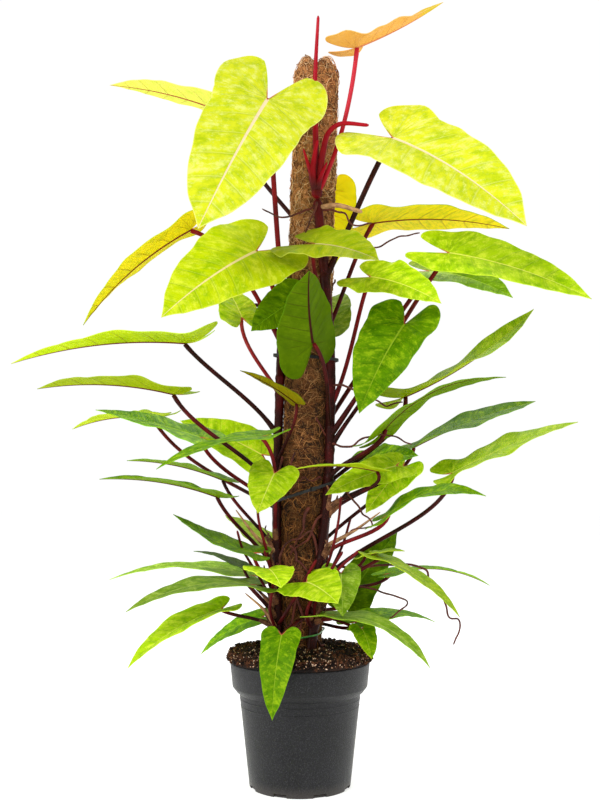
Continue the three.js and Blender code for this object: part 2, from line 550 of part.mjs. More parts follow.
function sprigGeometry(sprig, start) {
  const points = [start, ...sprig.path.map((point) => new THREE.Vector3(...point))];
  const law = (share) => 1 + (sprig.tip / sprig.radius - 1) * share;
  return bar(new THREE.CatmullRomCurve3(points), sprig.radius, PETIOLE_SIDES, sprig.steps, law);
}

// A climbing stem with all that grows from it, cut clear of its own blades
function climberGeometry(stem, grow = 0) {
  const points = [];
  for (let i = 0; i <= STEM_STEPS; i += 1) {
    points.push(stemPoint(stem, stem.foot - grow + ((stem.top - stem.foot) * i) / STEM_STEPS));
  }
  return bar(new THREE.CatmullRomCurve3(points), stem.radius + grow, STEM_SIDES, STEM_STEPS);
}

function cutClear(bars, leaves) {
  const clear = leaves.map((leaf) => solidOf(bladeGeometry(leaf, CLEARANCE)));
  return mainBody(joined(bars).subtract(joined(clear)));
}

function stemSolid(name) {
  const stem = STEMS[name];
  const bars = [solidOf(climberGeometry(stem))];
  const own = LEAVES.filter((leaf) => leaf.stem === name);
  own.forEach((leaf) => bars.push(solidOf(petioleGeometry(leaf, stemPoint(stem, leaf.node)))));
  own.filter((leaf) => leaf.fused).forEach((leaf) => bars.push(solidOf(bladeGeometry(leaf))));
  SPRIGS.filter((sprig) => sprig.stem === name)
    .forEach((sprig) => bars.push(solidOf(sprigGeometry(sprig, stemPoint(stem, sprig.node)))));
  return cutClear(bars, own.filter((leaf) => !leaf.fused));
}

// The new growth on the front stem's end: a knot, its spikes and the newest leaf's petiole
function newGrowthSolid() {
  const knot = stemPoint(STEMS.front, STEMS.front.top + GAP + KNOT_RADIUS);
  const ball = new THREE.SphereGeometry(KNOT_RADIUS, 8, 6).rotateX(Math.PI / 2);
  const bars = [solidOf(ball.translate(knot.x, knot.y - KNOT_FORWARD, knot.z))];
  const own = LEAVES.filter((leaf) => leaf.stem === 'growth');
  own.forEach((leaf) => bars.push(solidOf(petioleGeometry(leaf, knot))));
  SPRIGS.filter((sprig) => sprig.stem === 'growth')
    .forEach((sprig) => bars.push(solidOf(sprigGeometry(sprig, knot))));
  return cutClear(bars, own);
}

// The pot: a turned wall with a stepped collar, two ridges and drainage slots
function potWall(height) {
  return POT_FOOT_RADIUS + ((POT_NECK_RADIUS - POT_FOOT_RADIUS) * height) / POT_NECK_HEIGHT;
}

function potSolid() {
  const outer = [[0, 0], [POT_FOOT_RADIUS, 0]];
  POT_RIDGE_HEIGHTS.forEach((height) => {
    outer.push([potWall(height - POT_RIDGE_RUN), height - POT_RIDGE_RUN]);
    outer.push([potWall(height) + POT_RIDGE_RISE, height]);
    outer.push([potWall(height + POT_RIDGE_RUN), height + POT_RIDGE_RUN]);
  });
  outer.push([POT_NECK_RADIUS, POT_NECK_HEIGHT]);
  outer.push([POT_NECK_RADIUS + 4.5, POT_NECK_HEIGHT + 3]);
  outer.push([POT_COLLAR_FOOT_RADIUS, POT_COLLAR_FOOT_HEIGHT]);
  outer.push([POT_RIM_RADIUS, POT_HEIGHT - 2.4], [POT_RIM_RADIUS - 1, POT_HEIGHT]);
  const inner = [
    [POT_RIM_RADIUS - POT_WALL - 0.6, POT_HEIGHT],
    [POT_COLLAR_FOOT_RADIUS - POT_WALL, POT_COLLAR_FOOT_HEIGHT + 1],
    [POT_NECK_RADIUS - POT_WALL, POT_NECK_HEIGHT + 3],
    [POT_FOOT_RADIUS - POT_WALL, POT_FLOOR],
    [0, POT_FLOOR],
  ];
  const profile = [...outer, ...inner].map(([x, y]) => new THREE.Vector2(x, y));
  let pot = solidOf(new THREE.LatheGeometry(profile, POT_SIDES).rotateX(Math.PI / 2));
  for (let i = 0; i < DRAIN_COUNT; i += 1) {
    const slot = new THREE.BoxGeometry(3 * POT_WALL, DRAIN_WIDTH, 2 * DRAIN_HEIGHT);
    slot.translate(POT_FOOT_RADIUS, 0, 0).rotateZ((2 * Math.PI * (i + 0.5)) / DRAIN_COUNT);
    pot = pot.subtract(solidOf(slot));
  }
  return pot;
}

// The soil: it fills the pot, heaps a little over the rim and stands round the stems
function soilSolid() {
  const rows = [
    [0, POT_FLOOR + GAP],
    [POT_FOOT_RADIUS - POT_WALL - GAP, POT_FLOOR + GAP],
    [POT_NECK_RADIUS - POT_WALL - GAP, POT_NECK_HEIGHT + 3],
    [POT_COLLAR_FOOT_RADIUS - POT_WALL - GAP, POT_COLLAR_FOOT_HEIGHT + 1.2],
    [POT_RIM_RADIUS - POT_WALL - 0.6 - GAP, POT_HEIGHT + 2 * GAP],
    [POT_RIM_RADIUS, POT_HEIGHT + 3 * GAP],
    [SOIL_BULGE_RADIUS, SOIL_BULGE_HEIGHT - 3],
    [SOIL_BULGE_RADIUS - 3, SOIL_BULGE_HEIGHT + 5],
    [88, SOIL_TOP - 3],
    [64, SOIL_TOP],
    [0, SOIL_TOP + 1],
  ];
  const profile = rows.map(([x, y]) => new THREE.Vector2(x, y));
  const geometry = new THREE.LatheGeometry(profile, POT_SIDES).rotateX(Math.PI / 2);
  const { position } = geometry.attributes;
  for (let i = 0; i < position.count; i += 1) {
    const [x, y, z] = [position.getX(i), position.getY(i), position.getZ(i)];
    const heaped = Math.min(1, Math.max(0, (z - SOIL_BULGE_HEIGHT + 4) / 8));
    const lump = Math.sin(0.19 * x + 1.3) * Math.cos(0.16 * y) + 0.5 * Math.sin(0.31 * y - 0.23 * x);
    position.setZ(i, z + heaped * SOIL_LUMP * lump);
  }
  const holes = [solidOf(poleGeometry(SOIL_HOLE_GAP))];
  Object.values(STEMS).forEach((stem) => holes.push(solidOf(climberGeometry(stem, SOIL_HOLE_GAP))));
  return mainBody(solidOf(geometry).subtract(joined(holes)));
}

// The coir pole: a leaning, slightly lumpy bolster with a groove between two bulges on top
function poleGeometry(grow = 0) {
  const profile = [new THREE.Vector2(0, 0)];
  for (let i = 0; i <= POLE_RINGS; i += 1) profile.push(new THREE.Vector2(1, i / POLE_RINGS));
  POLE_DOME_RINGS.forEach((radius) => profile.push(new THREE.Vector2(radius, 1)));
  const geometry = new THREE.LatheGeometry(profile, POLE_SIDES).rotateX(Math.PI / 2);
  const { position } = geometry.attributes;
  for (let i = 0; i < position.count; i += 1) {
    const [x, y, share] = [position.getX(i), position.getY(i), position.getZ(i)];
    const z = POLE_FOOT - grow + (POLE_TOP - POLE_DOME - POLE_FOOT) * share;
    const angle = Math.atan2(y, x);
    const lump = 0.5 * POLE_LUMP * (Math.sin(3 * angle + 0.021 * z) + Math.sin(0.043 * z - 2 * angle));
    const reach = Math.hypot(x, y);
    const across = reach * Math.cos(angle);
    const bulges = POLE_GROOVE + (1 - POLE_GROOVE) * Math.abs(Math.sin(Math.PI * across));
    const dome = share === 1 ? POLE_DOME * bulges * Math.sqrt(1 - Math.min(1, reach ** 3)) : 0;
    const out = reach * (POLE_RADIUS + lump + grow);
    position.setXYZ(i, poleAxisX(z) + out * Math.cos(angle), out * Math.sin(angle), z + dome);
  }
  return geometry;
}

// The outline that a strap takes round several circles
function wrapOutline(circles) {
  const points = circles.flatMap(({ x, y, radius }) => Array.from({ length: TIE_SIDES }, (_, i) => {
    const angle = (2 * Math.PI * i) / TIE_SIDES;
    return new THREE.Vector2(x + radius * Math.cos(angle), y + radius * Math.sin(angle));
  }));
  points.sort((a, b) => a.x - b.x || a.y - b.y);
  const chain = (list) => list.reduce((kept, point) => {
    while (kept.length > 1) {
      const [a, b] = kept.slice(-2);
      if ((b.x - a.x) * (point.y - a.y) - (b.y - a.y) * (point.x - a.x) > 1e-9) break;
      kept.pop();
    }
    return [...kept, point];
  }, []);
  const lower = chain(points);
  const upper = chain([...points].reverse());
  return [...lower.slice(0, -1), ...upper.slice(0, -1)];
}

// A tie: a flat strap round the pole and the stems, sloping across, with its lock in front
function tieSolid(tie) {
  const slope = Math.tan(THREE.MathUtils.degToRad(tie.slope));
  const axis = poleAxisX(tie.height);
  const circles = (grow) => {
    const round = [{ x: axis, y: 0, radius: POLE_RADIUS + POLE_LUMP + grow }];
    Object.values(STEMS).filter((stem) => stem.top > tie.height + 20).forEach((stem) => {
      const near = stemPoint(stem, tie.height);
      const { x, y } = stemPoint(stem, tie.height + slope * (near.x - axis));
      round.push({ x, y, radius: stem.radius + grow });
    });
    return round;
  };
  const shape = new THREE.Shape(wrapOutline(circles(TIE_GAP + tie.thickness)));
  shape.holes.push(new THREE.Path(wrapOutline(circles(TIE_GAP))));
  const strap = new THREE.ExtrudeGeometry(shape, { depth: tie.width, bevelEnabled: false, curveSegments: 1 });
  const bodies = [solidOf(strap.translate(0, 0, tie.height - tie.width / 2))];
  if (tie.lock) {
    const reach = POLE_RADIUS + POLE_LUMP + TIE_GAP + tie.thickness + tie.lock / 2 - 0.6;
    const lock = new THREE.BoxGeometry(tie.lock, 1.2 * tie.lock, tie.width + 1.6);
    lock.translate(reach, 0, 0).rotateZ(THREE.MathUtils.degToRad(tie.bearing));
    bodies.push(solidOf(lock.translate(axis, 0, tie.height)));
  }
  const geometry = geometryOf(joined(bodies));
  const { position } = geometry.attributes;
  for (let i = 0; i < position.count; i += 1) {
    position.setZ(i, position.getZ(i) + slope * (position.getX(i) - axis));
  }
  return geometry;
}

// Assembly
const plant = new THREE.Group();

function place(name, geometry, colour, roughness) {
  const mesh = new THREE.Mesh(geometry, new THREE.MeshStandardMaterial({ color: colour, roughness }));
  mesh.name = name;
  plant.add(mesh);
}

place('pot', geometryOf(potSolid()), 0x3c3d3f, 0.55);
place('soil', geometryOf(soilSolid()), 0x3a2416, 0.95);
place('coir_pole', poleGeometry(), 0x8a5a30, 0.95);
Object.keys(STEMS).forEach((name) => place(`stem_${name}`, geometryOf(stemSolid(name)), 0x4a1418, 0.45));
place('new_growth', geometryOf(newGrowthSolid()), 0xb3123a, 0.4);
TIES.forEach((tie) => place(tie.name, tieSolid(tie), tie.colour, 0.45));
LEAVES.filter((leaf) => !leaf.fused).forEach((leaf) => {
  place(leaf.name, bladeGeometry(leaf), TONES[leaf.tone], 0.5);
});

export default plant;
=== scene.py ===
"""Looks of a potted painted lady philodendron on a coir pole.

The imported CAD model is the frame. Each class below models one part of the plant or its
pot round that frame, dresses it, and says which CAD node it stands for. Sizes are in
millimetres, as in the CAD source, and become metres when a mesh is laid out.
"""

import logging
import math
import random
from dataclasses import dataclass, field
from enum import Enum
from typing import Iterable, Sequence

import bpy
import numpy as np
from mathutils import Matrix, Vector


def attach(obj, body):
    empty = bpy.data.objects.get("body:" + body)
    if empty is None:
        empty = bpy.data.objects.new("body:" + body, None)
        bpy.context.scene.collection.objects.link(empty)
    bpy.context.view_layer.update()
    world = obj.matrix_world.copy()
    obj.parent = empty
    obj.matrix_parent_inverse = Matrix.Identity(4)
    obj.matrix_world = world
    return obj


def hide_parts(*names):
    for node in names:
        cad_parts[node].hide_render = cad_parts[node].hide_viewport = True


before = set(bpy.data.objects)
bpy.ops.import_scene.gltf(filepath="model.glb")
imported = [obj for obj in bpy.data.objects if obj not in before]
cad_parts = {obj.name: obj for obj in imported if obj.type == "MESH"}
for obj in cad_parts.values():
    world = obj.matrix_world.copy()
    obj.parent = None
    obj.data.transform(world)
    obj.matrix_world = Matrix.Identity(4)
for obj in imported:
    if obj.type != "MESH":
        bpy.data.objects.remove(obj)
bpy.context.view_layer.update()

MM = 0.001
UP = np.array([0.0, 0.0, 1.0])
Point = tuple[float, float, float]
Colour = tuple[int, int, int]
log = logging.getLogger("philodendron")


# Tools for shapes


def alone(*objects: bpy.types.Object) -> bpy.types.Object:
    """Selects these objects and nothing else, the first of them active, and returns it."""
    bpy.ops.object.select_all(action="DESELECT")
    for piece in objects:
        piece.select_set(True)
    bpy.context.view_layer.objects.active = objects[0]
    return objects[0]


def added(name: str) -> bpy.types.Object:
    """Names the primitive that was just added, and returns it."""
    piece = bpy.context.active_object
    piece.name = piece.data.name = name
    return piece


def sheet(name: str, places: np.ndarray) -> bpy.types.Object:
    """Adds a grid and lays its points out.

    Args:
        name: The piece's name.
        places: Rows by columns by three coordinates, in millimetres.

    Returns:
        The piece. Its faces look along (columns' direction) x (rows' direction).
    """
    rows, columns = places.shape[:2]
    bpy.ops.object.select_all(action="DESELECT")
    bpy.ops.mesh.primitive_grid_add(x_subdivisions=columns - 1, y_subdivisions=rows - 1, size=1)
    piece = added(name)
    piece.data.vertices.foreach_set("co", (places * MM).astype(np.float32).ravel())
    return piece


def mark(piece: bpy.types.Object, name: str, values: np.ndarray) -> None:
    """Keeps three numbers on each point of a piece for its material to read.

    Args:
        piece: The piece.
        name: The attribute's name.
        values: Points by three numbers, in the order of the mesh.
    """
    layer = piece.data.attributes.new(name, "FLOAT_VECTOR", "POINT")
    layer.data.foreach_set("vector", values.reshape(-1, 3).astype(np.float32).ravel())


def marked(piece: bpy.types.Object, name: str) -> np.ndarray:
    """Returns the numbers that mark() kept, as points by three."""
    data = piece.data.attributes[name].data
    values = np.empty(len(data) * 3, np.float32)
    data.foreach_get("vector", values)
    return values.reshape(-1, 3)


def points_of(piece: bpy.types.Object) -> np.ndarray:
    """Returns a piece's points in metres."""
    values = np.empty(len(piece.data.vertices) * 3, np.float32)
    piece.data.vertices.foreach_get("co", values)
    return values.reshape(-1, 3)


def moved_to(piece: bpy.types.Object, places: np.ndarray) -> None:
    """Puts a piece's points at these places, in metres."""
    piece.data.vertices.foreach_set("co", places.astype(np.float32).ravel())
    piece.data.update()


def joined(pieces: Sequence[bpy.types.Object], name: str) -> bpy.types.Object:
    """Joins pieces into one of that name, merging the points that coincide."""
    whole = alone(*pieces)
    if len(pieces) > 1:
        bpy.ops.object.join()
    whole.name = whole.data.name = name
    merged(whole)
    return whole


def merged(piece: bpy.types.Object, distance: float = 1e-6) -> None:
    """Merges the points of a piece that are closer than distance, in metres."""
    alone(piece)
    bpy.ops.object.mode_set(mode="EDIT")
    bpy.ops.mesh.select_all(action="SELECT")
    bpy.ops.mesh.remove_doubles(threshold=distance)
    bpy.ops.object.mode_set(mode="OBJECT")


def outward(piece: bpy.types.Object) -> None:
    """Turns the faces of a closed piece outwards."""
    alone(piece)
    bpy.ops.object.mode_set(mode="EDIT")
    bpy.ops.mesh.select_all(action="SELECT")
    bpy.ops.mesh.normals_make_consistent(inside=False)
    bpy.ops.object.mode_set(mode="OBJECT")


def modified(piece: bpy.types.Object, kind: str, **settings: object) -> None:
    """Puts a modifier on a piece and applies it."""
    alone(piece)
    modifier = piece.modifiers.new(kind.lower(), kind)
    for key, value in settings.items():
        setattr(modifier, key, value)
    bpy.ops.object.modifier_apply(modifier=modifier.name)


def smooth(piece: bpy.types.Object, degrees: float = 50) -> None:
    """Shades a piece smooth, with its sharper edges kept."""
    alone(piece)
    bpy.ops.object.shade_smooth_by_angle(angle=math.radians(degrees))


def settle(
    piece: bpy.types.Object, material: bpy.types.Material, slot: str, nodes: Iterable[str]
) -> bpy.types.Object:
    """Dresses a finished piece and fixes it to the frame.

    Args:
        piece: The finished piece.
        material: Its finish.
        slot: The record's material slot that the finish belongs to.
        nodes: The CAD nodes that the piece stands for.

    Returns:
        The piece.
    """
    piece.data.materials.clear()
    piece.data.materials.append(material)
    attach(piece, "root")
    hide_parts(*nodes)
    piece.data.calc_loop_triangles()
    log.info("%s: %d triangles, %s", piece.name, len(piece.data.loop_triangles), slot)
    return piece


def unit(vector: np.ndarray) -> np.ndarray:
    """Returns a vector at length one."""
    return vector / np.linalg.norm(vector)


def waves(places: np.ndarray, pitch: float, seed: int, count: int = 9) -> np.ndarray:
    """A smooth seeded lumpiness, about -1 to 1, of places in millimetres.

    Args:
        places: Any number of places, three coordinates last.
        pitch: The size of a lump.
        seed: The seed of its directions.
        count: How many waves are summed.

    Returns:
        One height per place.
    """
    draw = np.random.default_rng(seed)
    directions = draw.normal(size=(count, 3))
    directions /= np.linalg.norm(directions, axis=1)[:, None]
    lengths = pitch * draw.uniform(0.7, 1.6, count)
    phases = draw.uniform(0, 2 * math.pi, count)
    total = sum(
        np.sin(2 * math.pi * (places @ way) / length + phase)
        for way, length, phase in zip(directions, lengths, phases)
    )
    return total / math.sqrt(count / 2) / 2


def rough(places: np.ndarray, layers: Sequence[tuple[float, float, int, int]]) -> np.ndarray:
    """Lumps of several sizes, summed: each layer's height, pitch, seed and count of waves."""
    return sum(height * waves(places, pitch, seed, count) for height, pitch, seed, count in layers)


def cubic(a: np.ndarray, b: np.ndarray, c: np.ndarray, d: np.ndarray, q: np.ndarray) -> np.ndarray:
    """Points of a cubic curve at the shares q, with its four control points."""
    q = q[:, None]
    p = 1 - q
    return p**3 * a + 3 * p * p * q * b + 3 * p * q * q * c + q**3 * d


def spline(points: Sequence[Sequence[float]], count: int) -> np.ndarray:
    """A smooth curve through points, as count evenly run places."""
    known = np.array(points, float)
    run = np.concatenate([[0], np.cumsum(np.linalg.norm(np.diff(known, axis=0), axis=1) ** 0.5)])
    slopes = np.gradient(known, run, axis=0)
    at = np.linspace(0, run[-1], count * 4)
    k = np.clip(np.searchsorted(run, at, "right") - 1, 0, len(run) - 2)
    step = (run[k + 1] - run[k])[:, None]
    t = (at[:, None] - run[k][:, None]) / step
    fine = (
        (2 * t**3 - 3 * t**2 + 1) * known[k]
        + (t**3 - 2 * t**2 + t) * step * slopes[k]
        + (3 * t**2 - 2 * t**3) * known[k + 1]
        + (t**3 - t**2) * step * slopes[k + 1]
    )
    length = np.concatenate([[0], np.cumsum(np.linalg.norm(np.diff(fine, axis=0), axis=1))])
    even = np.linspace(0, length[-1], count)
    return np.stack([np.interp(even, length, fine[:, axis]) for axis in range(3)], axis=1)


def tube(
    name: str,
    path: np.ndarray,
    radii: np.ndarray,
    sides: int,
    glow: float = 0.5,
    flat: float = 1.0,
) -> bpy.types.Object:
    """Rolls a grid into a closed tube along a path.

    Args:
        name: The piece's name.
        path: The centre line, in millimetres.
        radii: The radius at each of its points.
        sides: How many sides the tube has.
        glow: A tone kept for the material, from 0, darkest, to 1, brightest.
        flat: The share of the radius across the tube's second axis.

    Returns:
        The piece, with share run, glow and turn kept on it as "stalk".
    """
    ahead = np.gradient(path, axis=0)
    ahead /= np.linalg.norm(ahead, axis=1)[:, None]
    side = unit(np.cross(ahead[0], UP if abs(ahead[0][2]) < 0.9 else np.array([0.0, 1.0, 0.0])))
    angles = np.linspace(0, 2 * math.pi, sides + 1)
    rings = []
    for centre, way, radius in zip(path, ahead, radii):
        side = unit(side - way * (side @ way))
        over = np.cross(way, side)
        across = np.cos(angles)[:, None] * side + flat * np.sin(angles)[:, None] * over
        rings.append(centre + radius * across)
    first, last = (np.repeat(end, sides + 1, 0) for end in (path[:1], path[-1:]))
    piece = sheet(name, np.stack([first, *rings, last]))
    share = np.concatenate([[0], np.linspace(0, 1, len(path)), [1]])
    turn = np.linspace(0, 1, sides + 1)
    marks = np.stack(
        [
            np.repeat(share[:, None], sides + 1, 1),
            np.full((len(share), sides + 1), glow),
            np.repeat(np.sin(turn * 2 * math.pi)[None], len(share), 0),
        ],
        axis=-1,
    )
    mark(piece, "stalk", marks)
    merged(piece, 1e-7)
    return piece


# Tools for finishes


def linear(colour: Colour) -> tuple[float, float, float, float]:
    """The shader's colour for a colour on the screen, from 0 to 255."""
    parts = [c / 255 for c in colour]
    return (*(p / 12.92 if p <= 0.04045 else ((p + 0.055) / 1.055) ** 2.4 for p in parts), 1.0)


class Value:
    """A number or colour worked out by a material's nodes, for Python's arithmetic."""

    def __init__(self, brush: "Brush", socket: bpy.types.NodeSocket) -> None:
        """Wraps a node's output."""
        self.brush = brush
        self.socket = socket

    def __add__(self, other: "Value | float") -> "Value":
        """The sum."""
        return self.brush.math("ADD", self, other)

    def __radd__(self, other: float) -> "Value":
        """The sum, with the number first."""
        return self.brush.math("ADD", other, self)

    def __sub__(self, other: "Value | float") -> "Value":
        """The difference."""
        return self.brush.math("SUBTRACT", self, other)

    def __rsub__(self, other: float) -> "Value":
        """The difference, with the number first."""
        return self.brush.math("SUBTRACT", other, self)

    def __mul__(self, other: "Value | float") -> "Value":
        """The product."""
        return self.brush.math("MULTIPLY", self, other)

    def __rmul__(self, other: float) -> "Value":
        """The product, with the number first."""
        return self.brush.math("MULTIPLY", other, self)

    def __gt__(self, other: "Value | float") -> "Value":
        """One where it is greater, else zero."""
        return self.brush.math("GREATER_THAN", self, other)


class Brush:
    """A material being made: its nodes and the shader that they feed."""

    def __init__(self, name: str) -> None:
        """Starts a material."""
        self.material = bpy.data.materials.new(name)
        self.material.use_nodes = True
        self.tree = self.material.node_tree
        self.shader = self.tree.nodes["Principled BSDF"]

    def node(
        self,
        kind: str,
        settings: dict[str, object] | None = None,
        sockets: dict[str | int, object] | None = None,
        out: str | int = 0,
    ) -> Value:
        """Adds a node.

        Args:
            kind: The node's type.
            settings: What is set on the node itself, before its sockets.
            sockets: A value or a link for each input that is used.
            out: The output that is wanted.

        Returns:
            That output.
        """
        node = self.tree.nodes.new(kind)
        for key, value in (settings or {}).items():
            setattr(node, key, value)
        for key, value in (sockets or {}).items():
            self.feed(node.inputs[key], value)
        return Value(self, node.outputs[out])

    def feed(self, socket: bpy.types.NodeSocket, value: object) -> None:
        """Links a value to a socket, or sets a number or colour on it."""
        if isinstance(value, Value):
            self.tree.links.new(value.socket, socket)
        else:
            socket.default_value = value

    def math(self, operation: str, *terms: "Value | float") -> Value:
        """A sum, product or other Math node on these terms."""
        return self.node("ShaderNodeMath", {"operation": operation}, dict(enumerate(terms)))

    def mix(self, share: "Value | float", start: object, end: object) -> Value:
        """A colour between two others."""
        sockets = {0: share, 6: start, 7: end}
        return self.node("ShaderNodeMix", {"data_type": "RGBA"}, sockets, 2)

    def step(self, value: Value, low: float, high: float) -> Value:
        """Zero below low, one above high and smooth between; falling if high is lower."""
        settings = {"interpolation_type": "SMOOTHSTEP"}
        ends = (low, high, 0.0, 1.0) if low < high else (high, low, 1.0, 0.0)
        return self.node("ShaderNodeMapRange", settings, {0: value, **dict(enumerate(ends, 1))})

    def vector(self, x: "Value | float", y: "Value | float", z: "Value | float") -> Value:
        """A vector of three numbers."""
        return self.node("ShaderNodeCombineXYZ", None, {0: x, 1: y, 2: z})

    def marks(self, name: str) -> tuple[Value, Value, Value]:
        """The three numbers kept on a piece's points by mark()."""
        whole = self.node("ShaderNodeAttribute", {"attribute_name": name}, None, "Vector")
        parts = self.node("ShaderNodeSeparateXYZ", None, {0: whole})
        outputs = parts.socket.node.outputs
        return Value(self, outputs[0]), Value(self, outputs[1]), Value(self, outputs[2])

    def place(self) -> Value:
        """The place on the object, in metres."""
        return self.node("ShaderNodeTexCoord", None, None, "Object")

    def stretched(self, at: Value, scale: Point) -> Value:
        """A place, scaled along each axis."""
        return self.node("ShaderNodeMapping", None, {"Vector": at, "Scale": scale})

    def coordinate(self, at: Value, axis: int) -> Value:
        """A place's coordinate along x, y or z, as axis is 0, 1 or 2."""
        return self.node("ShaderNodeSeparateXYZ", None, {0: at}, axis)

    def noise(self, at: Value, scale: float, detail: float = 2, rough: float = 0.5) -> Value:
        """Soft noise, about 0.3 to 0.7."""
        sockets = {"Vector": at, "Scale": scale, "Detail": detail, "Roughness": rough}
        return self.node("ShaderNodeTexNoise", None, sockets)

    def cells(self, at: Value, scale: float) -> Value:
        """The distance to the nearest of scattered points."""
        sockets = {"Vector": at, "Scale": scale}
        return self.node("ShaderNodeTexVoronoi", {"feature": "F1"}, sockets, "Distance")

    def done(
        self,
        colour: object,
        roughness: "Value | float",
        height: Value | None = None,
        relief: float = 0.001,
        strength: float = 0.5,
        **constants: float,
    ) -> bpy.types.Material:
        """Feeds the shader.

        Args:
            colour: The base colour.
            roughness: The roughness.
            height: The relief's height, from 0 to 1.
            relief: How far one of it stands up, in metres.
            strength: The relief's strength.
            **constants: Numbers for other sockets, with _ for a space in their names.

        Returns:
            The finished material.
        """
        self.feed(self.shader.inputs["Base Color"], colour)
        self.feed(self.shader.inputs["Roughness"], roughness)
        if height is not None:
            sockets = {"Height": height, "Distance": relief, "Strength": strength}
            bump = self.node("ShaderNodeBump", None, sockets)
            self.feed(self.shader.inputs["Normal"], bump)
        for key, value in constants.items():
            self.feed(self.shader.inputs[key.replace("_", " ")], value)
        return self.material


# Foliage


# Side veins on each half and on each lobe, and how they slant and curve.
LATERALS = 6.0
LOBE_VEINS = 4.0
VEIN_SLANT = 0.42
VEIN_CURVE = 0.2
# The midrib's width, as a share of the blade's widest reach.
RIB_WIDTH = 0.034
# The pink of the sinus, and where it, the margin's line and a tip's colour fade, in metres.
FLUSH = (205, 70, 80)
FLUSH_BAND = (0.0026, 0.0006)
EDGE_BAND = (0.0016, 0.0004)
END_BAND = (0.112, 0.142)
# Where the points of a blade's row lie, from its inner edge to the margin.
ACROSS = np.array(
    [0, 0.012, 0.03, 0.06, 0.11, 0.17, 0.24, 0.32, 0.41, 0.51, 0.61, 0.71, 0.8, 0.88, 0.95, 1]
)


@dataclass(frozen=True)
class LeafFinish:
    """The colours of one kind of blade, as they look on the screen.

    mottle is how far deep and pale spread over the base colour, gloss the roughness, and
    end the colour of a tip that differs from the rest. under is the underside's own colour,
    lifted paler as painted light shining through the blade.
    """

    base: Colour
    deep: Colour
    pale: Colour
    rib: Colour
    vein: Colour
    under: Colour
    under_vein: Colour
    mottle: float = 0.5
    gloss: float = 0.42
    end: Colour | None = None

    def material(self, name: str) -> bpy.types.Material:
        """Makes the finish: streaks and blotches along the veins, ribs, and an underside.

        Args:
            name: The material's name.

        Returns:
            The material, which reads a blade's "veins", "flat" and "rims".
        """
        b = Brush(name)
        vein, reach, seed = b.marks("veins")
        x, y, under = b.marks("flat")
        sinus, margin, shade = b.marks("rims")
        shift = seed * 7.3 + (x > 0) * 3.7
        flat = b.vector(x, y, shift * 0.01)
        patch = b.noise(flat, 84, 4, 0.62)
        cloud = b.noise(b.vector(vein * 1.5, reach * 2.6, shift), 1.0, 3)
        streak = b.noise(b.vector(vein * 5.0, reach * 4.6, shift), 1.0, 4, 0.62)
        fleck = b.noise(flat, 420, 3, 0.6)
        spread = (0.5 - self.mottle) * 0.3
        dark = streak * 0.62 + patch * 0.32 + cloud * 0.52 + fleck * 0.22
        dark = b.step(dark, 0.74 + spread, 1.02 + spread)
        light = streak * 0.6 - patch * 0.3 - cloud * 0.25 + fleck * 0.3
        light = b.step(light, 0.13 + spread, 0.33 + spread)
        top = b.mix(dark * 0.85, linear(self.base), linear(self.deep))
        top = b.mix(light * 0.72, top, linear(self.pale))
        near = b.math("PINGPONG", vein, 0.5)
        lateral = b.step(near, 0.05, 0.008) * b.step(reach, 1.0, 0.35)
        hair = b.math("PINGPONG", vein + streak * 0.1, 0.1)
        fine = b.step(hair, 0.04, 0.0) * b.step(reach, 0.95, 0.5)
        # Painted shade: the deep colour laid in a band beside each lateral vein, where its crease
        # falls into shadow.
        painted_crease_shade = b.step(near, 0.15, 0.03) * b.step(reach, 1.0, 0.3)
        top = b.mix(painted_crease_shade * cloud * 0.65, top, linear(self.deep))
        top = b.mix(lateral * patch * 0.4, top, linear(self.vein))
        width = reach * (1 / RIB_WIDTH) + vein * (0.8 / LATERALS)
        blade = b.step(vein, -0.5, -0.05)
        rib = b.step(width, 1.15, 0.75) * blade
        top = b.mix(rib * 0.9, top, linear(self.rib))
        flush = b.step(sinus, *FLUSH_BAND) * b.step(reach, 0.5, 0.12)
        top = b.mix(flush * 0.85, top, linear(FLUSH))
        # Partly the underside's own colour, partly painted light: under is lifted paler as if lit
        # through the blade.
        below = b.mix(light * 0.35, linear(self.under), linear(self.pale))
        below = b.mix(dark * 0.3, below, linear(self.deep))
        below = b.mix(lateral * 0.36 + fine * 0.1, below, linear(self.under_vein))
        below = b.mix(b.step(width, 1.5, 1.0) * blade, below, linear(self.under_vein))
        colour = b.mix(under, top, below)
        if self.end:
            end = b.step(y + patch * 0.03, *END_BAND)
            colour = b.mix(end * 0.85, colour, linear(self.end))
        colour = b.mix(b.step(margin, *EDGE_BAND) * 0.5, colour, linear(self.vein))
        # Each leaf's shade scales its colours: partly its own tone, partly painted light and shade.
        sockets = {0: colour, "Scale": shade + 1}
        colour = b.node("ShaderNodeVectorMath", {"operation": "SCALE"}, sockets)
        rise = under * 2 - 1
        height = (lateral + fine * 0.25 + rib * 0.6) * rise + cloud * 0.35
        rough = streak * 0.14 + fleck * 0.1 + (self.gloss - 0.08) + under * 0.12
        return b.done(colour, rough, height, 0.0011, 0.6, Specular_IOR_Level=0.04)


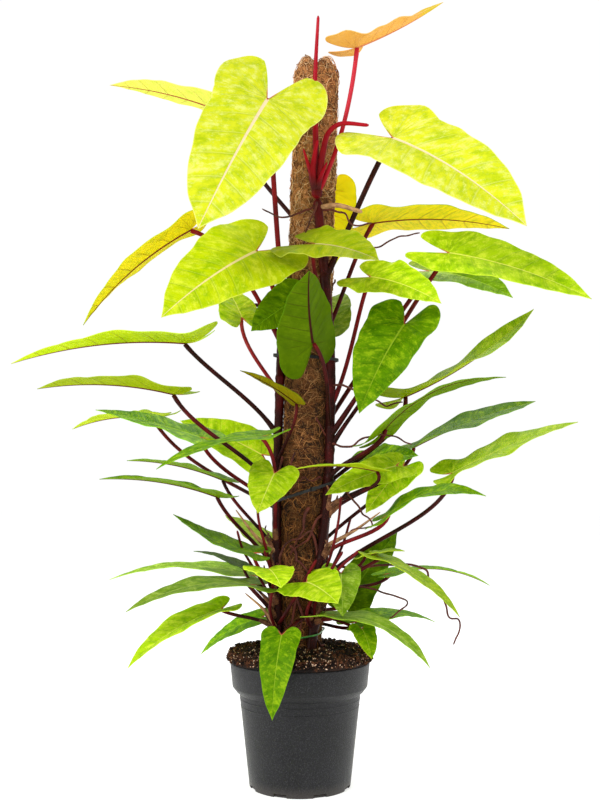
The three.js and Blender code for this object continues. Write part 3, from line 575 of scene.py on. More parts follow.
class Tone(Enum):
    """The kinds of blade, by the record's slot."""

    # Each under colour is the underside's own colour lifted paler: painted light shining through
    # the blade.
    LEMON = LeafFinish(
        (217, 224, 36), (168, 194, 8), (240, 244, 132),
        (250, 222, 184), (246, 248, 150), (232, 236, 90), (176, 96, 60),
    )
    CHARTREUSE = LeafFinish(
        (190, 210, 2), (140, 180, 0), (228, 236, 66),
        (244, 222, 160), (228, 238, 90), (220, 226, 66), (150, 60, 44),
    )
    LIME = LeafFinish(
        (162, 196, 10), (108, 156, 0), (212, 226, 64),
        (214, 222, 96), (192, 216, 60), (184, 206, 10), (112, 50, 34),
    )
    GREEN = LeafFinish(
        (98, 146, 2), (54, 104, 0), (164, 198, 24),
        (160, 192, 44), (118, 170, 14), (118, 152, 0), (84, 34, 26),
    )
    DARK = LeafFinish(
        (76, 108, 2), (42, 74, 0), (116, 146, 10),
        (100, 138, 20), (84, 128, 8), (80, 108, 0), (58, 20, 18), 0.45,
    )
    SAGE = LeafFinish(
        (122, 156, 26), (78, 120, 8), (178, 200, 84),
        (176, 198, 90), (146, 182, 50), (128, 164, 14), (86, 38, 32),
    )
    OLIVE = LeafFinish(
        (122, 164, 0), (80, 132, 0), (188, 210, 40),
        (190, 202, 70), (160, 192, 30), (248, 222, 18), (120, 44, 30),
    )
    ORANGE = LeafFinish(
        (248, 184, 84), (236, 156, 40), (255, 206, 140),
        (255, 204, 156), (252, 214, 140), (248, 184, 88), (226, 140, 96), end=(226, 204, 22),
    )

    @property
    def slot(self) -> str:
        """The record's slot of this kind."""
        return f"leaf_{self.name.lower()}"


@dataclass(frozen=True)
class Leaf:
    """One leaf, in millimetres and degrees.

    The petiole leaves its stem at the height node and meets the blade at base. half is
    the widest reach from the midrib and lobe the length of the rear lobes; roll turns
    the blade about its midrib, arch bows it, fold lifts its halves, wave ripples its
    margin, lift raises the lobes, twist is the turn gained from base to tip and waist
    draws the margin in before the blade's middle. A fused leaf is part of its stem's node.
    shade makes its colours lighter, or darker below zero: partly the leaf's own tone and
    partly painted light and shade, which lightens leaves that lie in shadow.
    """

    name: str
    stem: str
    node: float
    petiole: float
    tone: Tone
    base: Point
    tip: Point
    half: float
    lobe: float
    roll: float
    arch: float
    fold: float
    wave: float
    lift: float = 0.1
    bend: Point = (0, 0, 0)
    fused: bool = False
    shade: float = 0.0
    twist: float = 0.0
    waist: float = 0.4

    @property
    def axes(self) -> tuple[np.ndarray, np.ndarray, np.ndarray, float]:
        """The blade's ways along, up and to its right, and its length."""
        along = np.subtract(self.tip, self.base).astype(float)
        length = float(np.linalg.norm(along))
        along /= length
        level = unit(UP - along * along[2])
        roll = math.radians(self.roll)
        face = level * math.cos(roll) + np.cross(along, level) * math.sin(roll)
        return along, face, np.cross(along, face), length

    @property
    def joint(self) -> np.ndarray:
        """Where the petiole ends, under the blade."""
        return np.array(self.base) - self.axes[1] * (1.4 + 0.4 * self.petiole)

    def outline(self) -> tuple[np.ndarray, np.ndarray]:
        """The inner edge and the margin of one half, row by row, as flat points."""
        half, lobe, length, waist = self.half, self.lobe, self.axes[3], self.waist
        size = np.array([half, lobe])
        rear, zero = np.array([0.42, -0.98]) * size, np.zeros(2)
        widest = np.array([(1 - 0.1 * waist) * half, (0.06 + 0.04 * waist) * length])
        q = np.linspace(0, 1, 15)
        inner = cubic(rear, np.array([0.28, -0.8]) * size, np.array([0.1, -0.3]) * size, zero, q)
        behind = np.array([0.72 + 0.08 * waist, -1.14 - 0.06 * waist]) * size
        beside = np.array([1.03 + 0.17 * waist, -0.6 + 0.3 * waist]) * size
        outer = cubic(rear, behind, beside, widest, q)
        q = np.linspace(0, 1, 37)[1:]
        rib = np.stack([np.zeros_like(q), length * q**1.2], axis=1)
        size = np.array([half, length])
        before = np.array([0.99 - 0.15 * waist, 0.36 - 0.1 * waist]) * size
        ahead = np.array([0.43 + 0.4 * waist, 0.79]) * size
        edge = cubic(widest, before, ahead, np.array([0, length]), q)
        edge[:, 0] *= 1 - 0.4 * np.clip(edge[:, 1] / length / 0.14 - 6.14, 0, 1)
        rim = np.concatenate([outer, edge])
        run = np.linspace(0, 1, len(rim))
        nick = np.sin(2 * math.pi * (3.3 * run + self.node / 70))
        nick += 0.6 * np.sin(2 * math.pi * (7.1 * run + self.half))
        rim[:, 0] *= 1 + 0.018 * nick * np.sin(math.pi * run)
        return np.concatenate([inner, rib]), rim

    def veins(self, x: np.ndarray, y: np.ndarray) -> tuple[np.ndarray, np.ndarray]:
        """The lateral vein that runs through flat points, and how far out along it they are."""
        length = self.axes[3]
        past = y - VEIN_SLANT * np.abs(x) - VEIN_CURVE * x * x / self.half
        lobes = -2 / math.pi * np.arctan2(np.maximum(-past, 0), np.abs(x) + 1e-6) * LOBE_VEINS
        number = np.where(past > 0, past / length * LATERALS, lobes)
        reach = np.sqrt(x * x + np.minimum(past, 0) ** 2) / self.half
        return number, reach

    def places(self, x: np.ndarray, y: np.ndarray) -> np.ndarray:
        """Lifts flat points of the blade to their places in space."""
        along, face, right, length = self.axes
        share = y / length
        across = np.abs(x) / self.half
        bow = 4 * share * (1 - share) * length
        phase = np.where(x > 0, 0.15, 0.55) + math.fmod(self.base[0], 7) / 7
        swell = self.wave * self.half
        ripple = swell * across**2 * np.sin(2 * math.pi * (1.7 * share + phase))
        ripple += 0.5 * swell * across**3 * np.sin(2 * math.pi * (3.7 * share + phase * 3.1))
        fold = math.tan(math.radians(self.fold)) * np.abs(x) * (1 - 0.45 * across)
        lift = self.lift * np.minimum(0, y) ** 2 / self.lobe
        number, reach = self.veins(x, y)
        quilt = np.abs(np.sin(math.pi * number)) ** 0.7 - 0.6
        quilt = 0.019 * self.half * quilt * np.clip(reach * 6, 0, 1) * np.clip(3 - 3 * across, 0, 1)
        rise = fold + ripple + lift + quilt
        turn = np.radians(self.twist * share)
        over = x * np.cos(turn) + rise * np.sin(turn)
        height = self.arch * bow + rise * np.cos(turn) - x * np.sin(turn)
        steps = y[..., None] * along + over[..., None] * right + height[..., None] * face
        return np.array(self.base) + steps


@dataclass
class Foliage:
    """The blades."""

    leaves: Sequence[Leaf]
    thickness: float = 0.9
    keel: float = 1.6

    def half_blade(self, leaf: Leaf, side: int, seed: int) -> bpy.types.Object:
        """Lays out one half of a blade.

        Args:
            leaf: The leaf.
            side: 1 for the right half, -1 for the left.
            seed: The leaf's number, for its pattern.

        Returns:
            The half, one face thick, looking up.
        """
        inner, outer = leaf.outline()
        share = ACROSS[None, :, None]
        flat = inner[:, None] + (outer - inner)[:, None] * share
        x, y = side * flat[..., 0], flat[..., 1]
        width = np.linalg.norm(outer - inner, axis=1)[:, None]
        sinus = np.where(y < 0, ACROSS[None] * width, np.abs(x) + np.maximum(y, 0))
        margin = (1 - ACROSS[None]) * width
        number, reach = leaf.veins(x, y)
        places = leaf.places(x, y)
        fields = {
            "veins": np.stack([number, reach, np.full_like(x, seed)], axis=-1),
            "flat": np.stack([x * MM, y * MM, np.zeros_like(x)], axis=-1),
            "rims": np.stack([sinus * MM, margin * MM, np.full_like(x, leaf.shade)], axis=-1),
        }
        if side < 0:
            places = places[:, ::-1]
            fields = {name: values[:, ::-1] for name, values in fields.items()}
        piece = sheet("half_blade", places)
        for name, values in fields.items():
            mark(piece, name, values)
        return piece

    def blade(self, leaf: Leaf, seed: int) -> bpy.types.Object:
        """Models a blade: two halves, a thickness, and a rib standing out below."""
        halves = [self.half_blade(leaf, side, seed) for side in (1, -1)]
        piece = joined(halves, f"blade_{leaf.name}")
        count = len(piece.data.vertices)
        modified(piece, "SOLIDIFY", thickness=self.thickness * MM, offset=0.0)
        flat = marked(piece, "flat")
        flat[count:, 2] = 1.0
        piece.data.attributes["flat"].data.foreach_set("vector", flat.ravel())
        length = leaf.axes[3]
        share = np.clip(flat[:, 1] / MM / length, 0, 1)
        width = 0.035 * leaf.half * (1.1 - share)
        rib = np.clip(1 - (flat[:, 0] / MM / width) ** 2, 0, 1) * (flat[:, 1] > -0.002)
        depth = rib * self.keel * (1 - share) ** 0.7 * flat[:, 2]
        moved_to(piece, points_of(piece) - (depth * MM)[:, None] * leaf.axes[1])
        smooth(piece, 60)
        return piece

    def build(self) -> None:
        """Models and dresses every blade."""
        finishes = {tone: tone.value.material(tone.slot) for tone in Tone}
        for seed, leaf in enumerate(self.leaves):
            node = f"stem_{leaf.stem}" if leaf.fused else f"leaf_{leaf.name}"
            settle(self.blade(leaf, seed), finishes[leaf.tone], leaf.tone.slot, [node])


# Coir pole


# The rings of the pole's top, as shares of its radius.
CROWN_RINGS = (0.985, 0.95, 0.9, 0.8, 0.68, 0.54, 0.4, 0.26, 0.12, 0)


@dataclass
class CoirPole:
    """The leaning bolster of coconut fibre, with loose strands over it."""

    radius: float = 33.2
    top: float = 1116
    foot: float = 30
    dome: float = 26
    groove: float = 0.35
    lump: float = 1.0
    soil: float = 204
    strands: dict[str, int] = field(
        default_factory=lambda: {"dark": 1500, "brown": 2100, "tan": 1500}
    )

    @staticmethod
    def axis(z: "np.ndarray | float") -> "np.ndarray | float":
        """How far right the pole's middle is at a height."""
        return -1.5 + (z - 204) * 0.0311

    def skin(self, angle: np.ndarray, z: np.ndarray) -> np.ndarray:
        """The pole's radius at an angle and height."""
        return self.radius + 0.5 * self.lump * (
            np.sin(3 * angle + 0.021 * z) + np.sin(0.043 * z - 2 * angle)
        )

    def crown(self, share: np.ndarray, angle: np.ndarray) -> np.ndarray:
        """How high the top of two bulges stands, at a share of the radius and an angle."""
        bulges = self.groove + (1 - self.groove) * np.abs(np.sin(math.pi * share * np.cos(angle)))
        return self.dome * bulges * np.sqrt(np.maximum(0, 1 - share**3))

    def core(self) -> bpy.types.Object:
        """Models the bolster: a lumpy wall and a top of two bulges."""
        angle = np.linspace(0, 2 * math.pi, 97)
        base = self.top - self.dome
        heights = np.linspace(self.foot, base, 240)
        rows = [(0.0, self.foot), *((1.0, z) for z in heights), *((r, base) for r in CROWN_RINGS)]
        share = np.array([row[0] for row in rows])[:, None]
        z = np.array([row[1] for row in rows])[:, None] + 0 * angle
        reach = share * self.skin(angle[None], z)
        crown = (z >= base) * self.crown(share, angle)
        x = self.axis(z) + reach * np.cos(angle)
        y = reach * np.sin(angle)
        places = np.stack([x, y, z + crown], axis=-1)
        lumps = rough(places, ((1.1, 17, 3, 9), (0.9, 7, 5, 16), (0.5, 3.4, 8, 24)))
        away = np.stack([np.cos(angle) + 0 * z, np.sin(angle) + 0 * z, 0 * z], axis=-1)
        away = np.where((share < 0.97)[..., None], np.array([0, 0, 1.0]), away)
        places = places + away * (lumps * (z > self.soil - 20))[..., None]
        piece = sheet("coir_bolster", places)
        merged(piece, 1e-5)
        outward(piece)
        smooth(piece, 180)
        return piece

    def surface(self, run: np.ndarray, angle: np.ndarray, out: np.ndarray) -> np.ndarray:
        """Places over the bolster, which carry on from the wall over the crown.

        Args:
            run: How far up the wall, in millimetres, and on over the crown.
            angle: The bearing round the pole.
            out: How far the place stands off.

        Returns:
            The places.
        """
        base = self.top - self.dome
        over = np.clip((run - base) / 34, 0, 1) * math.pi / 2
        z = np.minimum(run, base)
        share = np.cos(over)
        reach = share * (self.skin(angle, z) + out)
        crown = self.crown(share, angle) + out * np.sin(over)
        x = self.axis(z) + reach * np.cos(angle)
        return np.stack([x, reach * np.sin(angle), z + crown], axis=-1)

    def fleece(self, name: str, count: int, seed: int, thick: float) -> bpy.types.Object:
        """Scatters loose strands over the bolster.

        Args:
            name: The piece's name.
            count: How many strands.
            seed: The seed of their places.
            thick: The radius of a strand.

        Returns:
            The strands, as one mesh of thin tubes.
        """
        draw = np.random.default_rng(seed)
        curve = bpy.data.curves.new(name, "CURVE")
        curve.dimensions = "3D"
        curve.bevel_depth = thick * MM
        curve.bevel_resolution = 0
        curve.use_fill_caps = True
        steps = 8
        share = np.linspace(0, 1, steps)
        for _ in range(count):
            pace = draw.uniform(14, 46) / steps
            turns = draw.normal(0, 0.05) * pace + draw.normal(0, 0.22, steps)
            heading = draw.uniform(0, 2 * math.pi) + np.cumsum(turns)
            run = draw.uniform(self.soil + 2, self.top + 6) + np.cumsum(pace * np.sin(heading))
            angle = draw.uniform(0, 2 * math.pi) + np.cumsum(pace * np.cos(heading)) / self.radius
            out = draw.uniform(0.5, 3.6) * draw.random() ** 0.5 * np.sin(math.pi * share) + 0.2
            out = out * (1.5 if run[0] > self.top - self.dome - 2 else 1)
            places = self.surface(np.maximum(run, self.soil), angle, out)
            line = curve.splines.new("POLY")
            line.points.add(steps - 1)
            line.points.foreach_set("co", np.c_[places * MM, np.ones(steps)].ravel())
            radii = draw.uniform(0.6, 1.35) * np.linspace(1.1, 0.5, steps)
            line.points.foreach_set("radius", radii)
        piece = bpy.data.objects.new(name, curve)
        bpy.context.scene.collection.objects.link(piece)
        alone(piece)
        bpy.ops.object.convert(target="MESH")
        piece = bpy.context.active_object
        merged(piece, 1e-7)
        bpy.ops.object.shade_smooth()
        return piece

    def matted(self) -> bpy.types.Material:
        """The bolster's finish: matted fibre, with painted shade in its hollows and paler towards
        the top as a painted highlight.
        """
        b = Brush("coir")
        place = b.place()
        warp = b.noise(place, 60, 3)
        shift = b.vector(warp * 0.02, warp * 0.015, warp * 0.02)
        bent = b.node("ShaderNodeVectorMath", {"operation": "ADD"}, {0: place, 1: shift})
        threads = b.noise(b.stretched(bent, (1, 1, 3.2)), 190, 4, 0.7)
        strands = b.noise(b.stretched(bent, (2.6, 2.6, 0.8)), 210, 3, 0.6)
        ridge = b.math("ABSOLUTE", threads - 0.5) + b.math("ABSOLUTE", strands - 0.5)
        pits = b.noise(place, 95, 3, 0.6)
        # Painted highlight: the colours pale towards the top of the pole.
        high = b.step(b.coordinate(place, 2), 0.5, 1.04)
        base = b.mix(high, linear((96, 54, 24)), linear((218, 150, 90)))
        painted_hollow_shade = b.mix(high, linear((16, 8, 4)), linear((84, 46, 22)))
        # Painted shade: the darkest colour fills the low places of the relief.
        colour = b.mix(b.step(pits + ridge * 0.8, 0.42, 0.66), painted_hollow_shade, base)
        colour = b.mix(b.step(ridge, 0.1, 0.02) * 0.5, colour, linear((214, 158, 100)))
        return b.done(colour, 0.9, ridge * 2 + pits, 0.002, 0.9, Specular_IOR_Level=0.2)

    def strand(self, name: str, low: Colour, high: Colour) -> bpy.types.Material:
        """The finish of the loose strands, paler towards the top as a painted highlight, with
        painted shade in soft patches.

        Args:
            name: The material's name.
            low: Their colour near the soil.
            high: Their colour near the top, paler there as a painted highlight.

        Returns:
            The material.
        """
        b = Brush(name)
        place = b.place()
        speck = b.noise(place, 340, 3, 0.6)
        painted_shade_tuft = b.noise(place, 42, 2)
        dark, light = linear(low), linear(high)
        # Painted highlight: the strands pale towards the top.
        colour = b.mix(b.step(b.coordinate(place, 2), 0.42, 1.02), dark, light)
        # Painted shade: a darker copy of the colour laid in soft patches and specks.
        shade = tuple(0.35 * c for c in dark[:3]) + (1.0,)
        colour = b.mix(b.step(speck + painted_shade_tuft, 1.12, 0.8) * 0.7, colour, shade)
        return b.done(colour, 0.75, speck, 0.0003, 0.4, Specular_IOR_Level=0.3)

    def build(self) -> None:
        """Models and dresses the pole and its strands."""
        settle(self.core(), self.matted(), "coir", ["coir_pole"])
        # Each kind's colours run from near the soil to near the top; the paling upwards is painted
        # light.
        kinds = {
            "dark": (0.6, (46, 24, 10), (140, 86, 44)),
            "brown": (0.58, (128, 76, 34), (226, 160, 98)),
            "tan": (0.56, (186, 122, 64), (255, 214, 160)),
        }
        for seed, (kind, (thick, low, high)) in enumerate(kinds.items(), 40):
            piece = self.fleece(f"coir_strands_{kind}", self.strands[kind], seed, thick)
            settle(piece, self.strand(f"coir_{kind}", low, high), "coir", ["coir_pole"])


# Stems


# How far the stems' skin stands from the pole's middle, and the height that dry husks reach.
STEM_STAND = 34.8
HUSKS_BELOW = 420


@dataclass(frozen=True)
class Stem:
    """A climbing stem: its radius, foot and top, and bearings round the pole by height."""

    radius: float
    foot: float
    top: float
    bearings: Sequence[tuple[float, float]]

    def point(self, z: float) -> np.ndarray:
        """The stem's middle at a height."""
        heights, angles = zip(*self.bearings)
        bearing = math.radians(float(np.interp(z, heights, angles)))
        reach = STEM_STAND + self.radius
        x = CoirPole.axis(z) + reach * math.cos(bearing)
        return np.array([x, reach * math.sin(bearing), z])


@dataclass(frozen=True)
class Sprig:
    """A spike, cut sheath, stub or aerial root, from its stem at the height node through path.

    Its name starts with its kind, which says how it is dressed.
    """

    name: str
    stem: str
    node: float
    radius: float
    tip: float
    path: Sequence[Point]


STEMS = {
    "front": Stem(
        7.5, 120, 880, ((120, -75), (330, -50), (470, -28), (620, -32), (760, -58), (880, -82))
    ),
    "left": Stem(7, 125, 745, ((125, -128), (300, -150), (470, -172), (620, -178), (745, -165))),
    "back": Stem(7, 125, 860, ((125, 62), (320, 88), (520, 75), (700, 60), (860, 48))),
}
# Where the new growth springs from.
KNOT = STEMS["front"].point(888.3)

SPRIGS = (
    Sprig("spike_main", "growth", 0, 5.4, 2.3,
          ((24, -49, 960), (23, -49, 1059), (28, -48, 1164))),
    Sprig("spike_side", "growth", 0, 6, 2.7,
          ((35, -53, 950), (43, -55, 978), (60, -57, 991), (104, -58, 989))),
    Sprig("spike_wrap", "growth", 0, 7, 2.2,
          ((19, -51, 912), (22, -52, 944), (27, -53, 968))),
    Sprig("spike_wrap_low", "growth", 0, 5.6, 1.6,
          ((30, -51, 908), (41, -51, 934))),
    Sprig("spike_short", "growth", 0, 5.4, 1.4,
          ((14, -52, 925), (5, -51, 955))),
    Sprig("cut_knot", "front", 866, 4.2, 3,
          ((55, -50, 868), (94, -52, 857))),
    Sprig("cut_left", "left", 345, 4, 0.9,
          ((-62, -36, 366), (-95, -50, 410))),
    Sprig("cut_low_left", "left", 232, 3.6, 0.9,
          ((-52, -44, 262), (-80, -60, 289))),
    Sprig("cut_right", "front", 352, 4, 0.9,
          ((81, -50, 380), (118, -60, 407))),
    Sprig("stub_foot_right", "front", 232, 2.7, 2.2,
          ((10, -58, 262), (38, -66, 312), (62, -70, 350))),
    Sprig("stub_foot_far", "front", 245, 2.4, 2,
          ((24, -60, 280), (54, -66, 322), (86, -70, 352))),
    Sprig("stub_foot_left", "left", 226, 2.4, 2,
          ((-44, -50, 262), (-40, -62, 310), (-52, -74, 352))),
    Sprig("stub_across", "left", 238, 2.7, 2.2,
          ((-20, -60, 262), (2, -66, 300), (24, -66, 338))),
    Sprig("stub_right", "front", 300, 2.3, 1.8,
          ((44, -52, 340), (56, -62, 392), (60, -68, 430))),
    Sprig("stub_left", "left", 300, 2.4, 1.9,
          ((-50, -44, 352), (-62, -56, 404), (-58, -66, 440))),
    Sprig("stub_low_left", "left", 262, 2.2, 1.8,
          ((-60, -40, 310), (-84, -54, 352), (-92, -64, 380))),
    Sprig("stub_back_right", "back", 250, 2.4, 1.9,
          ((40, 46, 300), (66, 40, 352), (80, 48, 396))),
    Sprig("stub_back_left", "back", 296, 2.4, 1.9,
          ((-10, 58, 340), (-34, 66, 392), (-40, 74, 424))),
    Sprig("root_top_right", "back", 803, 1.3, 0.8,
          ((71, 35, 818), (127, 30, 823), (150, 25, 835), (189, 20, 842))),
    Sprig("root_knot_right", "front", 862, 1.3, 0.8,
          ((50, -56, 860), (68, -57, 852), (78, -58, 836), (108, -60, 838))),
    Sprig("root_knot_left", "front", 870, 1.3, 0.8,
          ((5, -58, 858), (-23, -57, 847), (-57, -60, 860))),
    Sprig("root_knot_down", "front", 874, 1.3, 0.8,
          ((24, -58, 868), (20, -60, 850), (9, -58, 828), (4, -50, 806))),
    Sprig("root_upper_front", "front", 596, 1.3, 0.8,
          ((63, -45, 596), (97, -50, 580), (126, -55, 565), (151, -60, 568))),
    Sprig("root_middle", "front", 510, 1.3, 0.8,
          ((74, -47, 503), (89, -49, 513), (107, -51, 519), (141, -53, 519), (166, -55, 506))),
    Sprig("root_loop", "front", 442, 1.3, 0.8,
          ((67, -50, 439), (89, -53, 410), (106, -57, 388), (73, -60, 379))),
    Sprig("root_hanging", "back", 318, 1.5, 0.9,
          ((105, -20, 325), (147, -21, 327), (187, -22, 322), (197, -23, 300), (209, -24, 293),
           (216, -26, 275), (223, -27, 249), (235, -28, 246), (238, -29, 238), (227, -30, 210))),
    Sprig("root_low", "back", 288, 1.3, 0.8,
          ((96, 0, 292), (151, -7, 276), (161, -13, 270), (127, -20, 244))),
    Sprig("root_left", "left", 328, 1.5, 0.9,
          ((-28, -50, 336), (-22, -53, 359), (7, -57, 373), (19, -60, 381))),
)
